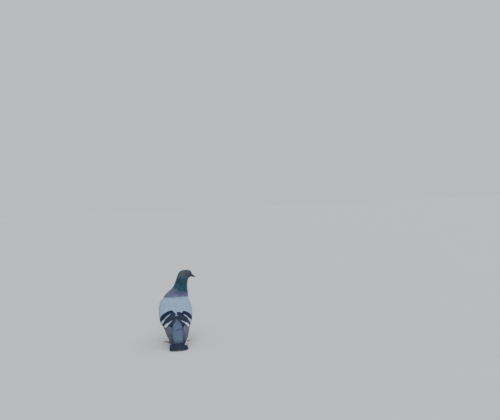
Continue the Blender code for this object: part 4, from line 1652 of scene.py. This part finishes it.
    def vent_tufts(self, random):
        """Loose pale feathers beside the tail's root, on the right."""
        vane = Vane(3, len(SMALL_VANE_ALONG))
        t, coat = SMALL_VANE_ALONG, Coat()
        roots, tips = [], []
        for _ in range(60):
            x, along = random.uniform(16.5, 25.0), random.uniform(-49, -34)
            roots.append((-x, along, 87.0 - 0.12 * (x - 17) + random.uniform(-1, 0.4)))
            beyond, on, up = random.uniform(1.0, 4.5), random.uniform(11, 15), random.uniform(-1.5, 0.9)
            tips.append((-x - beyond, along - on, 87.6 + up))
        roots, tips = from_trunk(*np.array(roots).T), from_trunk(*np.array(tips).T)
        count = len(roots)
        heading = unit(tips - roots)
        across = unit(np.cross(heading, SPAN_UP))
        centre = roots[:, None] + (tips - roots)[:, None] * t[None, :, None]
        off = 1.9 * SMALL_VANE_WIDTH[None, :, None] * vane.across[None, None, :]
        grid = centre[:, :, None] + across[:, None, None] * off[..., None]
        outs = np.broadcast_to(np.cross(across, heading)[:, None, None], grid.shape)
        lift = np.zeros((count, len(t), 3)) - 0.2 * vane.across**2
        colour = np.broadcast_to(rgb("vent"), (count, len(t), 3)) * random.uniform(0.8, 1.1, (count, 1, 1))
        marks = np.broadcast_to(NO_MARKS, grid.shape)
        thickness = np.broadcast_to(np.interp(t, (0, 1), (0.3, 0.06)), (count, len(t)))
        patch = np.concatenate([SPINE_LINE.unwrap(roots), np.full((count, 2), 0.003)], axis=1)
        gloss = np.zeros((count, len(t)))
        coat.add(vane, grid, outs, lift, thickness, colour, gloss, marks, t, random.random(count), patch)
        coat.piece("vent_tufts", finish_for("plumage"))

    def top(self, along):
        """Height of the tail's upper side out of the back's line."""
        return curve(along, [(-83, 90.8), (-66, 91.2), (-4, 91.6)])


class PIGEON_OT_eyes(bpy.types.Operator):
    """Makes the two eyeballs, turned on their own axes"""

    bl_idname = "pigeon.eyes"
    bl_label = "Eyes"

    def execute(self, context):
        for side in SIDES:
            radius = eye_radius(side)
            bm = bmesh.new()
            bmesh.ops.create_uvsphere(bm, u_segments=48, v_segments=40, radius=radius)
            bmesh.ops.transform(bm, matrix=eye_matrix(side), verts=bm.verts)
            outward = (places(bm) - node_middle(f"eye_{side}")) @ (HEAD_LEFT * SIDES[side])
            off = np.sqrt(np.maximum(radius**2 - outward**2, 0)) / (sizes().eye_opening / MM + 0.35)
            off = np.where(outward < 0, 1.0, np.clip(off, 0, 1))
            mesh = as_mesh(bm, f"eyeball_{side}")
            set_points(mesh, "iris", "FLOAT", off)
            mesh.materials.append(finish_for("eye"))
            piece = placed(f"eyeball_{side}", mesh)
            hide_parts(f"eye_{side}")
        return {"FINISHED"}


BILL_VOXEL = 0.2


class PIGEON_OT_bill(bpy.types.Operator):
    """Makes the two halves of the bill, with the nostrils, and the cere over them"""

    bl_idname = "pigeon.bill"
    bl_label = "Bill and cere"

    def execute(self, context):
        for node, name, finish, slot in (
            ("bill_upper", "bill_upper_horn", "horn", "dark_horn"),
            ("bill_lower", "bill_lower_horn", "horn", "dark_horn"),
            ("cere", "nose_cere", "cere", "cere_skin"),
        ):
            bm = swollen(remeshed(swollen(mm_bmesh(node), 0.12), BILL_VOXEL, 4), 0.06)
            points, outs = places(bm), ways_out(bm)
            side, forward, up = on_head(points)
            lift = np.zeros(len(points))
            if node == "bill_upper":
                slit = np.exp(-(((up + 4.4 + 0.2 * (forward - 20)) / 0.42) ** 2))
                slit = slit * ramp(19.5, 20.6, forward) * ramp(24.8, 23.6, forward)
                lift = -0.5 * slit * (np.abs(side) > 1.2)
            if node == "bill_lower":  # its rounded tip closes under the hook
                for vert, by in zip(bm.verts, (1.3 * ramp(28, 32.5, forward)).tolist()):
                    vert.co += Vector(from_head(0, 1, -0.1) - from_head(0, 0, 0)) * by
            if node == "cere":
                lift = 0.10 * noise(points, 0.6) - 0.15 + 0.9 * ramp(0.1, 0.8, -outs[:, 2])
            mesh = as_mesh(pushed(bm, outs, lift), name)
            mesh.materials.append(finish_for(finish))
            piece = placed(name, mesh)
            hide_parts(node)
        return {"FINISHED"}


class PIGEON_OT_claws(bpy.types.Operator):
    """Makes the four claws of each foot"""

    bl_idname = "pigeon.claws"
    bl_label = "Claws"

    def execute(self, context):
        for side in SIDES:
            nodes = [f"claw_{side}_{toe}" for toe in TOES]
            parts = []
            for node in nodes:
                bm = mm_bmesh(node)
                bmesh.ops.subdivide_edges(bm, edges=bm.edges, cuts=1, use_grid_fill=True, smooth=0.6)
                parts.append(remeshed(bm, 0.16, 4))
            mesh = as_mesh(joined(parts), f"claws_{side}")
            mesh.materials.append(finish_for("horn"))
            piece = placed(f"claws_{side}", mesh)
            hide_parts(*nodes)
        return {"FINISHED"}


CAMERA_AZIMUTH = math.radians(177.4)
CAMERA_AWAY, CAMERA_HEIGHT = 2.367, 0.590
CAMERA_YAW = math.radians(6.4942)  # how far it looks past the bird
CAMERA_PITCH, CAMERA_ROLL = math.radians(-3.5), math.radians(2.2)
CAMERA_LENS, CAMERA_SENSOR = 49.968, 36.0


class PIGEON_OT_stage(bpy.types.Operator):
    """Sets the plain floor, the soft lights and the camera"""

    bl_idname = "pigeon.stage"
    bl_label = "Stage"

    def execute(self, context):
        settings = context.scene.pigeon_stage
        feet = Vector(in_metres((0, 0, 0)))
        bm = bmesh.new()
        bmesh.ops.create_grid(bm, x_segments=8, y_segments=8, size=settings.floor_size)
        mesh = bpy.data.meshes.new("studio_floor")
        bm.to_mesh(mesh)
        bm.free()
        mesh.materials.append(finish_for("floor"))
        floor = bpy.data.objects.new("studio_floor", mesh)
        context.scene.collection.objects.link(floor)
        self.lamp("key", settings.key_power, Vector((0.05, 1.0, 1.35)), math.radians(55))
        self.lamp("fill", settings.fill_power, Vector((-1.2, -0.6, 1.1)), math.radians(80))
        world = bpy.data.worlds.new("studio")
        world.use_nodes = True
        sky = world.node_tree.nodes["Background"]
        sky.inputs["Color"].default_value = (0.86, 0.90, 0.94, 1.0)
        sky.inputs["Strength"].default_value = settings.sky
        context.scene.world = world
        self.camera(context, feet)
        return {"FINISHED"}

    def lamp(self, name, power, direction, spread):
        """A soft light from one direction."""
        data = bpy.data.lights.new(name, "SUN")
        data.energy, data.angle = power, spread
        lamp = bpy.data.objects.new(name, data)
        lamp.location = direction
        lamp.rotation_euler = direction.to_track_quat("Z", "Y").to_euler()
        bpy.context.scene.collection.objects.link(lamp)

    def camera(self, context, feet):
        aside, back = math.sin(CAMERA_AZIMUTH) * CAMERA_AWAY, math.cos(CAMERA_AZIMUTH) * CAMERA_AWAY
        at = Vector((feet.x + aside, feet.y - back, CAMERA_HEIGHT))
        level = Vector((feet.x - at.x, feet.y - at.y, 0)).normalized()
        level.rotate(Matrix.Rotation(-CAMERA_YAW, 3, "Z"))
        look = level * math.cos(CAMERA_PITCH) + Vector((0, 0, math.sin(CAMERA_PITCH)))
        right = look.cross(Vector((0, 0, 1))).normalized()
        up = right.cross(look)
        c, s = math.cos(CAMERA_ROLL), math.sin(CAMERA_ROLL)
        right, up = right * c - up * s, right * s + up * c
        data = bpy.data.cameras.new("studio_camera")
        data.lens, data.sensor_width, data.clip_start = CAMERA_LENS, CAMERA_SENSOR, 0.01
        camera = bpy.data.objects.new("studio_camera", data)
        turn = Matrix((right, up, -look)).transposed().to_4x4()
        camera.matrix_world = Matrix.Translation(at) @ turn
        context.scene.collection.objects.link(camera)
        context.scene.camera = camera


OPERATORS = (
    PIGEON_OT_skin, PIGEON_OT_contour_feathers, PIGEON_OT_wing_feathers, PIGEON_OT_tail_feathers,
    PIGEON_OT_eyes, PIGEON_OT_bill, PIGEON_OT_claws, PIGEON_OT_stage,
)


class PIGEON_PT_panel(bpy.types.Panel):
    """Lists the settings and the steps"""

    bl_label = "Pigeon figure"
    bl_space_type = "VIEW_3D"
    bl_region_type = "UI"
    bl_category = "Pigeon"

    def draw(self, context):
        scene = context.scene
        for settings in (scene.pigeon_sizes, scene.pigeon_colours, scene.pigeon_stage):
            box = self.layout.box()
            for name in settings.__annotations__:
                box.prop(settings, name)
        for operator in OPERATORS:
            self.layout.operator(operator.bl_idname)


GROUPS = {"pigeon_sizes": PigeonSizes, "pigeon_colours": PigeonColours, "pigeon_stage": PigeonStage}


def register():
    for kind in (*GROUPS.values(), *OPERATORS, PIGEON_PT_panel):
        bpy.utils.register_class(kind)
    for name, kind in GROUPS.items():
        setattr(bpy.types.Scene, name, PointerProperty(type=kind))


def unregister():
    for name in GROUPS:
        delattr(bpy.types.Scene, name)
    for kind in reversed((*GROUPS.values(), *OPERATORS, PIGEON_PT_panel)):
        bpy.utils.unregister_class(kind)


def main():
    register()
    for operator in OPERATORS:
        group, name = operator.bl_idname.split(".")
        getattr(getattr(bpy.ops, group), name)()


if __name__ == "__main__":
    main()
